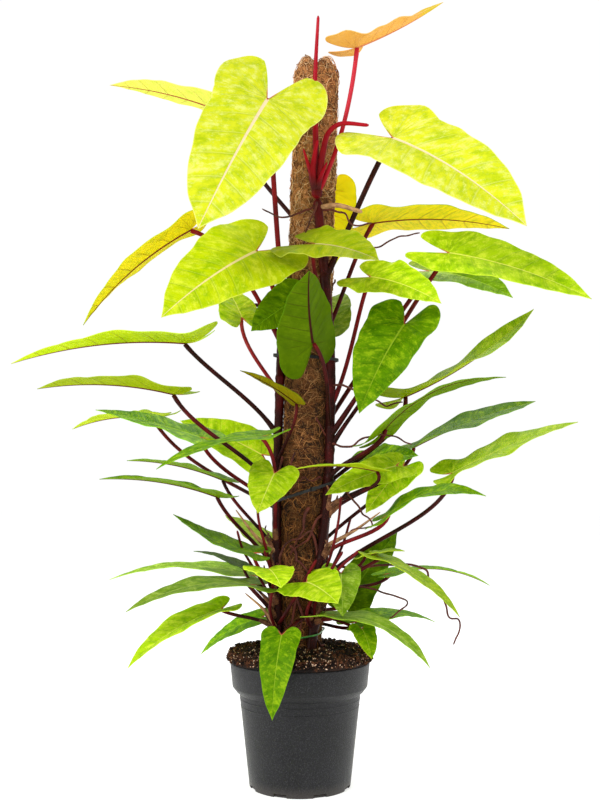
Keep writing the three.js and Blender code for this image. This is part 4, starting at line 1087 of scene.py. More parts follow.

# Each leaf's shade is partly its own tone and partly painted light and shade.
LEAVES = (
    Leaf("crown_left", "left", 735, 4, Tone.LEMON, (-48, -99, 1014),
         (-139, -204, 795), 84, 84, -47, 0.06, 6, 0.05, waist=1, shade=-0.01),
    Leaf("crown_right", "front", 760, 4.2, Tone.LEMON, (139, -70, 965),
         (311, -194, 801), 80, 68, 43, 0.06, 12, 0.05, shade=0.07, waist=1),
    Leaf("newest", "growth", 880, 3.4, Tone.ORANGE, (86, -45, 1115),
         (218, -60, 1180), 44, 38, 5, -0.03, 20, 0.12, lift=0.3, twist=24, shade=-0.1),
    Leaf("crown_back", "back", 800, 3.6, Tone.LEMON, (-122, 60, 1050),
         (-313, 75, 1102), 54, 40, 3, 0.04, 10, 0.05, bend=(0, 26, 0), shade=0.06),
    Leaf("upper_left_drooping", "left", 665, 3.4, Tone.OLIVE, (-169, -10, 840),
         (-329, -30, 688), 52, 32, 7, 0.06, 14, 0.05, shade=0.26),
    Leaf("upper_left_broad", "left", 700, 3.6, Tone.CHARTREUSE, (-64, -85, 790),
         (-192, -172, 678), 74, 60, -47, 0.06, 5, 0.05, shade=0.02),
    Leaf("upper_middle_bright", "front", 690, 3, Tone.CHARTREUSE, (21, -105, 796),
         (110, -175, 757), 50, 60, 34, 0.05, 10, 0.07, shade=-0.31),
    Leaf("upper_right_olive", "back", 665, 3.4, Tone.OLIVE, (114, 20, 858),
         (336, 50, 856), 60, 38, -9, 0.05, 4, 0.06, shade=0.13),
    Leaf("upper_back_yellow", "back", 760, 3.2, Tone.OLIVE, (48, 80, 926),
         (60, 130, 815), 45, 26, 0, 0.06, 8, 0.05, shade=0.64),
    Leaf("upper_right_long", "front", 520, 3.4, Tone.LIME, (227, -30, 799),
         (424, -100, 716), 55, 58, 45, 0.05, 12, 0.06, bend=(14, -38, 0), shade=0.4),
    Leaf("upper_right_mid", "back", 500, 3.6, Tone.SAGE, (205, 42, 785),
         (320, -48, 727), 50, 58, 28, 0.06, 10, 0.08, shade=0.8),
    Leaf("upper_right_inner", "front", 565, 3.2, Tone.LIME, (107, -30, 762),
         (204, -110, 708), 48, 42, 38, 0.06, 10, 0.08, shade=0.43),
    Leaf("upper_right_hanging", "front", 500, 3.2, Tone.GREEN, (156, -62, 685),
         (84, -120, 548), 56, 40, -26, 0.06, 24, 0.08, twist=-14, shade=-0.1),
    Leaf("upper_front_dark", "front", 530, 3, Tone.DARK, (19, -92, 652),
         (13, -174, 743), 56, 50, 45, 0.04, 25, 0.05, shade=0.11),
    Leaf("upper_left_dark", "left", 610, 2.8, Tone.DARK, (-6, -58, 723),
         (-72, -80, 672), 38, 26, -60, 0.04, 8, 0.05, bend=(-16, -24, 0), shade=0.8),
    Leaf("upper_left_small", "left", 585, 3, Tone.LIME, (-90, 0, 704),
         (-121, 60, 762), 38, 26, 0, 0.05, 8, 0.06, shade=0.27),
    Leaf("middle_left_top", "left", 520, 3.4, Tone.LIME, (-175, -20, 662),
         (-429, -60, 626), 55, 50, 1, 0.05, 18, 0.07, lift=0.5, shade=0.38),
    Leaf("middle_left_flat", "left", 434, 3.2, Tone.LIME, (-187, -55, 581),
         (-397, -30, 591), 52, 32, 2, 0.05, 18, 0.07, lift=0.25, shade=-0.25),
    Leaf("middle_left_pale", "back", 372, 3, Tone.LIME, (-240, 100, 556),
         (-377, 130, 538), 46, 40, -4, 0.06, 14, 0.1, lift=0.3, bend=(0, 0, -25), shade=0.1),
    Leaf("middle_left_long", "back", 370, 3, Tone.GREEN, (-153, 0, 519),
         (-316, 10, 562), 46, 38, -16, 0.02, 8, 0.07, shade=0.79),
    Leaf("middle_left_behind", "back", 330, 2.8, Tone.LIME, (-61, 70, 494),
         (-197, 115, 551), 44, 32, -45, 0.05, 8, 0.06, shade=0.7),
    Leaf("middle_left_grey", "left", 360, 2.8, Tone.GREEN, (-56, -75, 517),
         (-203, -125, 469), 42, 38, -8, 0.06, 8, 0.07, lift=0.3, shade=0.2),
    Leaf("middle_left_slim", "left", 345, 2.6, Tone.GREEN, (-118, 15, 454),
         (-270, 30, 484), 36, 22, 2, 0.05, 14, 0.07, shade=0.05),
    Leaf("middle_left_low", "left", 315, 2.8, Tone.GREEN, (-121, -55, 429),
         (-283, -125, 455), 40, 24, -4, 0.05, 14, 0.06, lift=0.3, bend=(0, 28, 0), shade=-0.05),
    Leaf("middle_left_steep", "left", 285, 2.6, Tone.DARK, (-67, -60, 347),
         (-185, -70, 404), 36, 22, -14, -0.05, 8, 0.06, shade=0.69),
    Leaf("middle_heart", "left", 440, 2.6, Tone.LIME, (-37, -75, 464),
         (-60, -118, 407), 37, 20, -20, 0.04, 6, 0.03, shade=0.01),
    Leaf("middle_left_olive", "left", 480, 2.4, Tone.OLIVE, (-4, -56, 567),
         (-88, -78, 614), 26, 8, 5, 0.04, 10, 0.05, shade=-0.65),
    Leaf("middle_right_twisted", "back", 410, 3.2, Tone.LIME, (164, 30, 584),
         (373, 50, 726), 48, 40, -12, -0.05, 12, 0.12, lift=0.3, shade=-0.06, twist=50),
    Leaf("middle_right_olive", "front", 455, 3.4, Tone.GREEN, (126, -50, 530),
         (300, -90, 603), 54, 50, -2, 0.12, -8, 0.07, lift=0.5, shade=-0.1),
    Leaf("middle_right_grey", "back", 380, 3, Tone.GREEN, (181, 72, 506),
         (387, 112, 583), 52, 36, -3, 0.03, 8, 0.08, shade=0, twist=32),
    Leaf("middle_right_long", "front", 290, 3.2, Tone.LIME, (230, -20, 464),
         (414, -50, 540), 50, 30, 17, 0.03, 10, 0.12, lift=0.3, shade=0.05),
    Leaf("middle_right_arched", "front", 335, 3, Tone.GREEN, (129, -60, 403),
         (265, -110, 431), 44, 32, 16, 0.14, 8, 0.07, lift=0.3, shade=0.13),
    Leaf("cluster_upper", "back", 350, 2.8, Tone.GREEN, (99, 34, 480),
         (180, -11, 491), 44, 32, 33, 0.05, 6, 0.06, shade=0.8),
    Leaf("cluster_pale", "back", 320, 2.8, Tone.LIME, (159, 6, 474),
         (99, -19, 404), 32, 22, -40, 0.05, 6, 0.06, shade=0.8),
    Leaf("cluster_olive", "front", 395, 2.6, Tone.LIME, (145, -32, 475),
         (37, -74, 432), 32, 22, -40, 0.05, 6, 0.06, shade=0.12),
    Leaf("middle_across", "front", 405, 2.6, Tone.LIME, (113, -87, 467),
         (-8, -117, 469), 34, 14, 0, 0.05, 8, 0.06, shade=-0.1),
    Leaf("low_left_upper", "back", 245, 3, Tone.SAGE, (-78, 52, 305),
         (-301, 67, 297), 50, 34, -4, 0.08, 6, 0.06, shade=0.77),
    Leaf("low_left_lower", "left", 245, 3, Tone.SAGE, (-74, -50, 300),
         (-246, -110, 268), 48, 34, -6, 0.09, 6, 0.05, shade=0.06),
    Leaf("low_left_bright", "left", 265, 2.4, Tone.LIME, (-46, -82, 326),
         (-26, -150, 306), 37, 18, 0, 0.06, 6, 0.05, shade=0.64),
    Leaf("low_left_front", "left", 228, 2.6, Tone.LIME, (-116, -35, 263),
         (-245, -95, 187), 42, 24, -6, 0.07, 18, 0.06, shade=0.32),
    Leaf("low_left_dark", "back", 225, 2.6, Tone.GREEN, (-59, 55, 240),
         (-155, 60, 182), 36, 22, -16, 0.08, 6, 0.05, shade=0.4),
    Leaf("low_front", "front", 245, 2.6, Tone.GREEN, (-26, -100, 235),
         (-38, -152, 127), 29, 12, 0, 0.08, 10, 0.05, shade=-0.1),
    Leaf("low_middle_bright", "front", 262, 2.6, Tone.LIME, (9, -92, 308),
         (52, -165, 286), 45, 24, 22, 0.06, 6, 0.05, shade=0.29),
    Leaf("low_middle_grey", "front", 272, 2.4, Tone.SAGE, (60, -58, 318),
         (60, -115, 262), 30, 22, 0, 0.06, 6, 0.05, shade=0.23),
    Leaf("low_right_dark", "back", 240, 2.8, Tone.DARK, (75, 60, 263),
         (158, 105, 370), 38, 20, 40, 0.06, 6, 0.05, shade=0.35),
    Leaf("low_right_yellow", "front", 250, 2.6, Tone.LIME, (117, -60, 340),
         (224, -120, 262), 38, 26, -4, 0.08, 6, 0.05, shade=-0.1),
    Leaf("low_right_slim", "back", 265, 2.4, Tone.GREEN, (138, 5, 312),
         (294, 35, 291), 36, 24, 0, 0.1, 6, 0.05, shade=0.5),
    Leaf("low_right_green", "back", 225, 2.6, Tone.GREEN, (86, -4, 240),
         (210, 41, 234), 38, 24, 7, 0.1, 6, 0.05, shade=0.23),
    Leaf("low_right_arched", "front", 240, 2.8, Tone.SAGE, (51, -72, 258),
         (181, -125, 193), 44, 40, 0, 0.13, 8, 0.05, shade=0.31),
    Leaf("upper_back_pale", "back", 700, 3, Tone.CHARTREUSE, (-162, 70, 773),
         (-85, 150, 843), 45, 34, 0, 0.06, 8, 0.05, fused=True),
    Leaf("upper_right_pale", "back", 560, 2.6, Tone.SAGE, (45, 75, 700),
         (74, 150, 770), 38, 26, 0, 0.05, 6, 0.05, fused=True),
    Leaf("middle_back_pale", "back", 290, 2.4, Tone.LIME, (-51, 80, 350),
         (-125, 150, 395), 36, 24, 0, 0.05, 6, 0.05, fused=True),
    Leaf("low_left_slim", "left", 255, 2.2, Tone.DARK, (-85, 0, 322),
         (-165, 30, 344), 24, 14, 0, 0.05, 6, 0.05, fused=True),
    Leaf("low_back_dark", "back", 255, 2.4, Tone.DARK, (-50, 110, 300),
         (-120, 190, 300), 34, 24, 0, 0.06, 6, 0.05, fused=True),
    Leaf("low_right_small", "front", 280, 2.2, Tone.LIME, (96, -45, 342),
         (152, -75, 351), 26, 12, 5, 0.05, 6, 0.05, fused=True),
    Leaf("low_right_olive", "front", 244, 2.2, Tone.OLIVE, (89, -82, 241),
         (101, -112, 203), 20, 10, 0, 0.06, 6, 0.05, fused=True),
)

# How bright the stalks of some leaves are; the others brighten with their height.
GLOWS = {
    "newest": 0.85,
    "crown_left": 0.55,
    "crown_right": 0.05,
    "crown_back": 0.1,
    "upper_left_broad": 0.6,
    "upper_left_drooping": 0.5,
    "upper_left_small": 0.95,
    "middle_left_top": 0.1,
    "middle_left_flat": 0.2,
    "middle_left_long": 0.45,
    "middle_left_grey": 0.5,
    "middle_left_steep": 0.55,
    "upper_right_inner": 0.45,
    "middle_right_arched": 0.5,
}


@dataclass
class Climber:
    """One stem with its petioles, sheaths and roots."""

    name: str
    stem: Stem
    sides: int = 16

    def trunk(self) -> bpy.types.Object:
        """Models the stem itself, with a ring at each node."""
        heights = np.arange(self.stem.foot, self.stem.top + 0.1, 2.5)
        path = np.stack([self.stem.point(z) for z in heights])
        for k in (0, 1):
            ends = np.pad(path[:, k], 12, "edge")
            path[:, k] = np.convolve(ends, np.ones(25) / 25, "valid")
        radii = np.full(len(heights), self.stem.radius * 0.96)
        for leaf in LEAVES:
            if leaf.stem == self.name:
                away = heights - leaf.node
                radii += np.exp(-((away / 4.5) ** 2)) - 0.5 * np.exp(-(((away - 7) / 2.5) ** 2))
        radii *= 1 + 0.035 * waves(path, 11, len(self.name))
        radii[-3:] *= (0.9, 0.7, 0.35)
        return tube("trunk", path, np.minimum(radii, self.stem.radius + 1.2), self.sides, 0.12)

    @staticmethod
    def route(leaf: Leaf, start: np.ndarray) -> np.ndarray:
        """The middle line of a leaf's stalk, from its stem to the blade."""
        end = leaf.joint
        reach = float(np.linalg.norm(end - start))
        out = (end - start) * np.array([1, 1, 0])
        out = unit(out)
        bend = np.array(leaf.bend, float)
        along, face = leaf.axes[:2]
        arrival = unit(0.8 * face + 0.5 * along)
        rise = start + out * 0.34 * reach * 0.45 + UP * 0.34 * reach * 0.8 + bend
        meet = end - arrival * 0.3 * reach + bend
        count = max(14, int(reach / 9))
        return cubic(start, rise, meet, end + arrival * 1.5, np.linspace(0, 1, count))

    def petiole(self, leaf: Leaf, start: np.ndarray) -> bpy.types.Object:
        """Models a leaf's stalk, swollen where it clasps the stem and at the blade."""
        path = self.route(leaf, start)
        share = np.linspace(0, 1, len(path))
        law = 1 + 0.5 * np.maximum(0, 1 - 5 * share)
        law += 0.14 * np.exp(-(((share - 0.97) / 0.03) ** 2))
        glow = GLOWS.get(leaf.name, 0.12 + 0.35 * (leaf.base[2] / 1100) ** 2)
        return tube(f"petiole_{leaf.name}", path, leaf.petiole * law, 12, glow)

    def husk(self, leaf: Leaf, turn: int) -> list[bpy.types.Object]:
        """Models the dry sheath round the foot of a leaf's stalk, and its loose tongue.

        Args:
            leaf: The leaf.
            turn: Its place along the stem, which varies the shapes.

        Returns:
            The sleeve and the tongue.
        """
        foot = self.stem.point(leaf.node)
        path = self.route(leaf, foot)
        run = np.concatenate([[0], np.cumsum(np.linalg.norm(np.diff(path, axis=0), axis=1))])
        at = np.linspace(2, 26 + 4 * (turn % 4), 18)
        line = np.stack([np.interp(at, run, path[:, k]) for k in range(3)], axis=1)
        share = np.linspace(0, 1, len(line))
        law = 1.55 + 0.25 * np.sin(math.pi * share) - 0.6 * share**3
        law += 0.08 * waves(line, 6, turn + 70)
        sleeve = tube("husk", line, leaf.petiole * law, 14)
        out = unit((foot - np.array([CoirPole.axis(foot[2]), 0, foot[2]])) * np.array([1, 1, 0]))
        side = np.cross(UP, out) * (turn % 3 - 1)
        reach = 24 + 5 * (turn % 4)
        bends = ((6, 0.1, 1), (10, 0.45, 4), (15, 0.8, 9), (11 + turn % 5, 1.05, 15))
        spots = [foot + out * away + UP * (up * reach) + side * over for away, up, over in bends]
        radii = 4.2 * np.linspace(1, 0.12, 16) ** 0.7
        tongue = tube("husk", spline(spots, 16), radii, 10, flat=0.22)
        return [sleeve, tongue]

    def petioles(self) -> bpy.types.Object:
        """Models this stem's petioles and the stubs of cut ones as one piece."""
        own = [leaf for leaf in LEAVES if leaf.stem == self.name]
        stalks = [self.petiole(leaf, self.stem.point(leaf.node)) for leaf in own]
        return joined(stalks + self.sprigs("stub"), f"petioles_{self.name}")

    def sprigs(self, kind: str) -> list[bpy.types.Object]:
        """Models the sprigs of one kind on this stem."""
        own = [one for one in SPRIGS if one.stem == self.name and one.name.startswith(kind)]
        return [grown(sprig, self.stem.point(sprig.node)) for sprig in own]

    def build(self, finishes: dict[str, bpy.types.Material]) -> None:
        """Models and dresses the stem and what grows on it."""
        node = f"stem_{self.name}"
        trunk = self.trunk()
        trunk.name = trunk.data.name = f"climber_{self.name}"
        petioles = self.petioles()
        for piece in (trunk, petioles):
            smooth(piece, 180)
            settle(piece, finishes["stalk"], "stalk", [node])
        own = [leaf for leaf in LEAVES if leaf.stem == self.name and leaf.node < HUSKS_BELOW]
        husks = [piece for turn, leaf in enumerate(own) for piece in self.husk(leaf, turn)]
        kinds = {"root": self.sprigs("root"), "sheath": husks, "cut": self.sprigs("cut")}
        for kind, made in kinds.items():
            if made:
                piece = joined(made, f"{kind}s_{self.name}")
                smooth(piece, 80)
                settle(piece, finishes[kind], "stalk", [node])


def grown(sprig: Sprig, start: np.ndarray) -> bpy.types.Object:
    """Models a sprig: a tapering tube with a rounded end, rough if it is a root."""
    points = [tuple(start), *sprig.path]
    length = float(np.sum(np.linalg.norm(np.diff(np.array(points), axis=0), axis=1)))
    root = sprig.name.startswith("root")
    count = int(length / (3 if root else 4)) + 8
    path = spline(points, count)
    share = np.linspace(0, 1, count)
    radii = sprig.radius + (sprig.tip - sprig.radius) * share
    if root:
        seed = len(sprig.name) + int(sprig.node)
        stray = np.stack([waves(path, 22, seed + k) for k in range(3)], 1)
        path = path + stray * 1.6 * np.minimum(1, 6 * share)[:, None]
        radii = radii * (1.4 + 0.12 * waves(path, 5, seed))
    end = np.minimum(1, (1 - share) * length / (1.6 * sprig.tip) + 0.25)
    return tube(sprig.name, path, radii * np.sqrt(end), 8 if root else 14, 0.3)


@dataclass
class ClingingRoots:
    """Thin roots that leave the stems and cross the front of the pole, most of them low."""

    count: int = 22
    span: tuple[float, float] = (222, 850)
    low_span: tuple[float, float] = (270, 500)
    thick: tuple[float, float] = (1.5, 3.0)
    tip: float = 1.0
    stand: float = 38.4
    soil: float = 208

    def build(self, finish: bpy.types.Material) -> None:
        """Models and dresses the roots."""
        draw = np.random.default_rng(90)
        made = []
        for index in range(self.count):
            low = index % 3 > 0
            start = draw.uniform(*(self.low_span if low else self.span))
            bearing = draw.uniform(-200, 20)
            sweep = draw.choice((-1, 1)) * draw.uniform(30, 110)
            fall = draw.uniform(-140, -40) if low else draw.uniform(-70, 30)
            share = np.linspace(0, 1, 46)
            angle = np.radians(bearing + sweep * share + 5 * np.sin(9 * share + index))
            z = np.maximum(start + fall * share + 3 * np.sin(13 * share + 2 * index), self.soil)
            stand = self.stand + 3.5 * np.sin(math.pi * share) * draw.random()
            x = CoirPole.axis(z) + stand * np.cos(angle)
            path = np.stack([x, stand * np.sin(angle), z], axis=1)
            thick = draw.uniform(*self.thick) if low else self.thick[0]
            radii = np.linspace(thick, self.tip, len(path)) * (1 + 0.14 * waves(path, 5, index))
            made.append(tube("root", path, radii, 7, 0.5))
        piece = joined(made, "clinging_roots")
        smooth(piece, 80)
        settle(piece, finish, "stalk", ["stem_front"])


@dataclass
class NewGrowth:
    """The knot at the front stem's end, its spikes and the newest leaf's petiole."""

    radius: float = 8

    def knot(self) -> bpy.types.Object:
        """Models the knot: a rough ball with a collar of old leaf bases."""
        bpy.ops.object.select_all(action="DESELECT")
        centre = KNOT - np.array([0, 1.5, 0])
        bpy.ops.mesh.primitive_uv_sphere_add(
            segments=28, ring_count=18, radius=self.radius * MM, location=tuple(centre * MM)
        )
        piece = added("knot")
        bpy.ops.object.transform_apply(location=True, rotation=True, scale=True)
        places = points_of(piece) / MM
        away = (places - centre) / self.radius
        lumps = rough(places, ((0.5, 6, 21, 9), (0.35, 3, 22, 14)))
        collar = 0.9 * np.exp(-(((places[:, 2] - centre[2] - 3.5) / 1.4) ** 2))
        collar += 0.7 * np.exp(-(((places[:, 2] - centre[2] + 3.5) / 1.2) ** 2))
        moved_to(piece, (places + away * (lumps + collar)[:, None]) * MM)
        mark(piece, "stalk", np.tile([0.1, 0.35, 0.0], (len(places), 1)))
        return piece

    def build(self, finishes: dict[str, bpy.types.Material]) -> None:
        """Models and dresses the new growth."""
        parts = [self.knot()]
        parts += [grown(sprig, KNOT) for sprig in SPRIGS if sprig.stem == "growth"]
        climber = Climber("growth", STEMS["front"])
        parts += [climber.petiole(leaf, KNOT) for leaf in LEAVES if leaf.stem == "growth"]
        piece = joined(parts, "growing_tip")
        smooth(piece, 180)
        settle(piece, finishes["growth"], "new_growth", ["new_growth"])


@dataclass(frozen=True)
class StalkFinish:
    """The skin of stems and petioles: two colours that meet along the stalk, and a blush.

    gloss is the roughness, lift brightens the whole stalk and rise its far end.
    """

    dark: Colour
    bright: Colour
    blush: Colour
    gloss: float = 0.34
    lift: float = 0.0
    rise: float = 0.3

    def material(self, name: str) -> bpy.types.Material:
        """Makes the finish, which reads a stalk's "stalk" marks."""
        b = Brush(name)
        share, glow, _ = b.marks("stalk")
        place = b.place()
        grain = b.noise(b.stretched(place, (1, 1, 0.12)), 520, 3, 0.6)
        blotch = b.noise(place, 26, 2)
        speck = b.noise(place, 700, 2)
        tone = glow * 1.25 + share * self.rise + blotch * 1.1 + grain * 0.16 + (self.lift - 0.85)
        colour = b.mix(b.step(tone, 0.0, 0.95), linear(self.dark), linear(self.bright))
        colour = b.mix(b.step(tone, 0.85, 1.4) * 0.6, colour, linear(self.blush))
        colour = b.mix(b.step(speck, 0.62, 0.7) * 0.25, colour, linear(self.blush))
        rough = grain * 0.16 + (self.gloss - 0.06)
        return b.done(colour, rough, grain + speck * 0.4, 0.0004, 0.35, Specular_IOR_Level=0.1)


@dataclass(frozen=True)
class BarkFinish:
    """Dry skin of sheaths and roots."""

    shade: Colour
    base: Colour
    light: Colour

    def material(self, name: str) -> bpy.types.Material:
        """Makes the finish: lengthwise fibres with darker blotches."""
        b = Brush(name)
        share, _, turn = b.marks("stalk")
        place = b.place()
        grain = b.noise(b.vector(share * 3.0, turn * 3.0, turn * 2.0), 3, 4, 0.6)
        blotch = b.noise(place, 60, 3)
        colour = b.mix(b.step(blotch + grain, 0.75, 1.2), linear(self.shade), linear(self.base))
        colour = b.mix(b.step(grain, 0.5, 0.75) * 0.7, colour, linear(self.light))
        return b.done(colour, 0.68, grain + blotch, 0.0006, 0.5, Specular_IOR_Level=0.3)


# The finish of each kind of stalk, root and sheath, with its material's name.
SKINS = {
    "stalk": ("stalk_skin", StalkFinish((43, 15, 12), (148, 24, 32), (198, 78, 78), 0.38)),
    "growth": (
        "growth_skin",
        StalkFinish((68, 16, 14), (172, 14, 34), (212, 56, 72), 0.32, 0.02, 0.8),
    ),
    "root": ("root_bark", BarkFinish((46, 16, 14), (104, 44, 34), (150, 92, 66))),
    "clinging": ("clinging_bark", BarkFinish((48, 18, 15), (112, 48, 38), (168, 102, 78))),
    "sheath": ("papery_sheath", BarkFinish((58, 30, 18), (130, 80, 50), (206, 152, 108))),
    "cut": ("cut_face", BarkFinish((120, 74, 44), (208, 156, 108), (242, 206, 168))),
}


# Pot, soil and ties


@dataclass
class Pot:
    """The black nursery pot with its stepped collar, ridges and drainage notches."""

    height: float = 182
    rim: float = 105
    collar: tuple[float, float] = (101.5, 147)
    neck: tuple[float, float] = (91, 136)
    foot: float = 75.5
    wall: float = 2.4
    floor: float = 3
    ridges: tuple[float, float] = (118, 128.5)
    ridge: float = 0.45
    edge: float = 0.22
    segments: int = 96

    def side(self, height: float) -> float:
        """The wall's outer radius at a height below the neck."""
        return self.foot + (self.neck[0] - self.foot) * height / self.neck[1]

    def profile(self) -> list[tuple[float, float]]:
        """Radius and height from the foot up, over the rim and down inside."""
        rim, top, wall = self.rim, self.height, self.wall
        (waist, low), (collar, high) = self.neck, self.collar
        rows = [(self.foot - 2.5, 0.0), (self.foot - 0.6, 0.0)]
        rows += [(self.side(height), height) for height in (1.2, 60.0)]
        for height in self.ridges:
            crest = self.side(height) + self.ridge
            rows.append((self.side(height - 0.9), height - 0.9))
            rows += [(crest, height - 0.3), (crest, height + 0.3)]
            rows.append((self.side(height + 0.9), height + 0.9))
        rows += [(waist, low), (waist + 1.6, low + 0.6), (waist + 4.5, low + 3)]
        rows += [(collar - 0.4, high - 0.8), (collar, high)]
        rows += [(rim, top - 2.4), (rim - 0.3, top - 0.6), (rim - 1, top)]
        rows += [(rim - wall - 0.2, top), (rim - wall - 0.6, top - 0.6)]
        rows += [(collar - wall, high + 1), (waist - wall, low + 3), (self.foot - wall, self.floor)]
        return rows

    def turned(self) -> bpy.types.Object:
        """Models the wall: a ring raised, widened and narrowed along the profile."""
        rows = self.profile()
        bpy.ops.object.select_all(action="DESELECT")
        radius, height = rows[0]
        spot = (0, 0, height * MM)
        bpy.ops.mesh.primitive_circle_add(
            vertices=self.segments, radius=radius * MM, fill_type="NGON", location=spot
        )
        piece = added("nursery_pot")
        bpy.ops.object.transform_apply(location=True, rotation=True, scale=True)
        bpy.ops.object.mode_set(mode="EDIT")
        bpy.ops.mesh.select_all(action="SELECT")
        bpy.ops.mesh.flip_normals()
        bpy.ops.mesh.select_mode(type="EDGE")
        bpy.ops.mesh.select_all(action="SELECT")
        for (r0, z0), (r1, z1) in zip(rows, rows[1:]):
            step = (0, 0, (z1 - z0) * MM)
            bpy.ops.mesh.extrude_edges_move(TRANSFORM_OT_translate={"value": step})
            if r1 != r0:
                wider, middle = (r1 / r0, r1 / r0, 1), (0, 0, z1 * MM)
                bpy.ops.transform.resize(value=wider, center_override=middle)
        bpy.ops.mesh.edge_face_add()
        bpy.ops.object.mode_set(mode="OBJECT")
        outward(piece)
        return piece

    def notches(self) -> bpy.types.Object:
        """Models the eight cutters of the drainage notches."""
        made = []
        for turn in range(8):
            angle = 2 * math.pi * (turn + 0.5) / 8
            bpy.ops.object.select_all(action="DESELECT")
            spot = (self.foot * MM * math.cos(angle), self.foot * MM * math.sin(angle), 0)
            bpy.ops.mesh.primitive_cube_add(
                size=1, location=spot, rotation=(0, 0, angle),
                scale=(3 * self.wall * MM, 20 * MM, 10 * MM),
            )
            bpy.ops.object.transform_apply(location=True, rotation=True, scale=True)
            made.append(added("notch"))
        return joined(made, "notches")

    def finish(self) -> bpy.types.Material:
        """Satin black plastic, finely pebbled, dusty towards the foot."""
        b = Brush("pot_plastic")
        place = b.place()
        pebble = b.noise(place, 900, 2, 0.6)
        cloud = b.noise(place, 18, 3)
        speck = b.noise(place, 750, 2, 0.7)
        colour = b.mix(b.step(cloud, 0.35, 0.65), linear((10, 10, 12)), linear((19, 19, 22)))
        colour = b.mix(b.step(speck, 0.5, 0.66) * 0.6, colour, linear((64, 64, 68)))
        dust = b.step(b.coordinate(place, 2), 0.02, 0.0) * 0.35
        colour = b.mix(dust, colour, linear((92, 86, 80)))
        roughness = pebble * 0.12 + cloud * 0.12 + 0.32
        return b.done(
            colour, roughness, pebble + speck, 0.0006, 0.5,
            Specular_IOR_Level=0.28, Sheen_Weight=0.24, Sheen_Roughness=0.2,
        )

    def build(self) -> None:
        """Models and dresses the pot."""
        piece = self.turned()
        cutters = self.notches()
        modified(piece, "BOOLEAN", object=cutters, operation="DIFFERENCE", solver="EXACT")
        bpy.data.objects.remove(cutters)
        sharp = {"limit_method": "ANGLE", "angle_limit": math.radians(40)}
        modified(piece, "BEVEL", width=self.edge * MM, segments=2, **sharp)
        smooth(piece, 35)
        settle(piece, self.finish(), "pot", ["pot"])


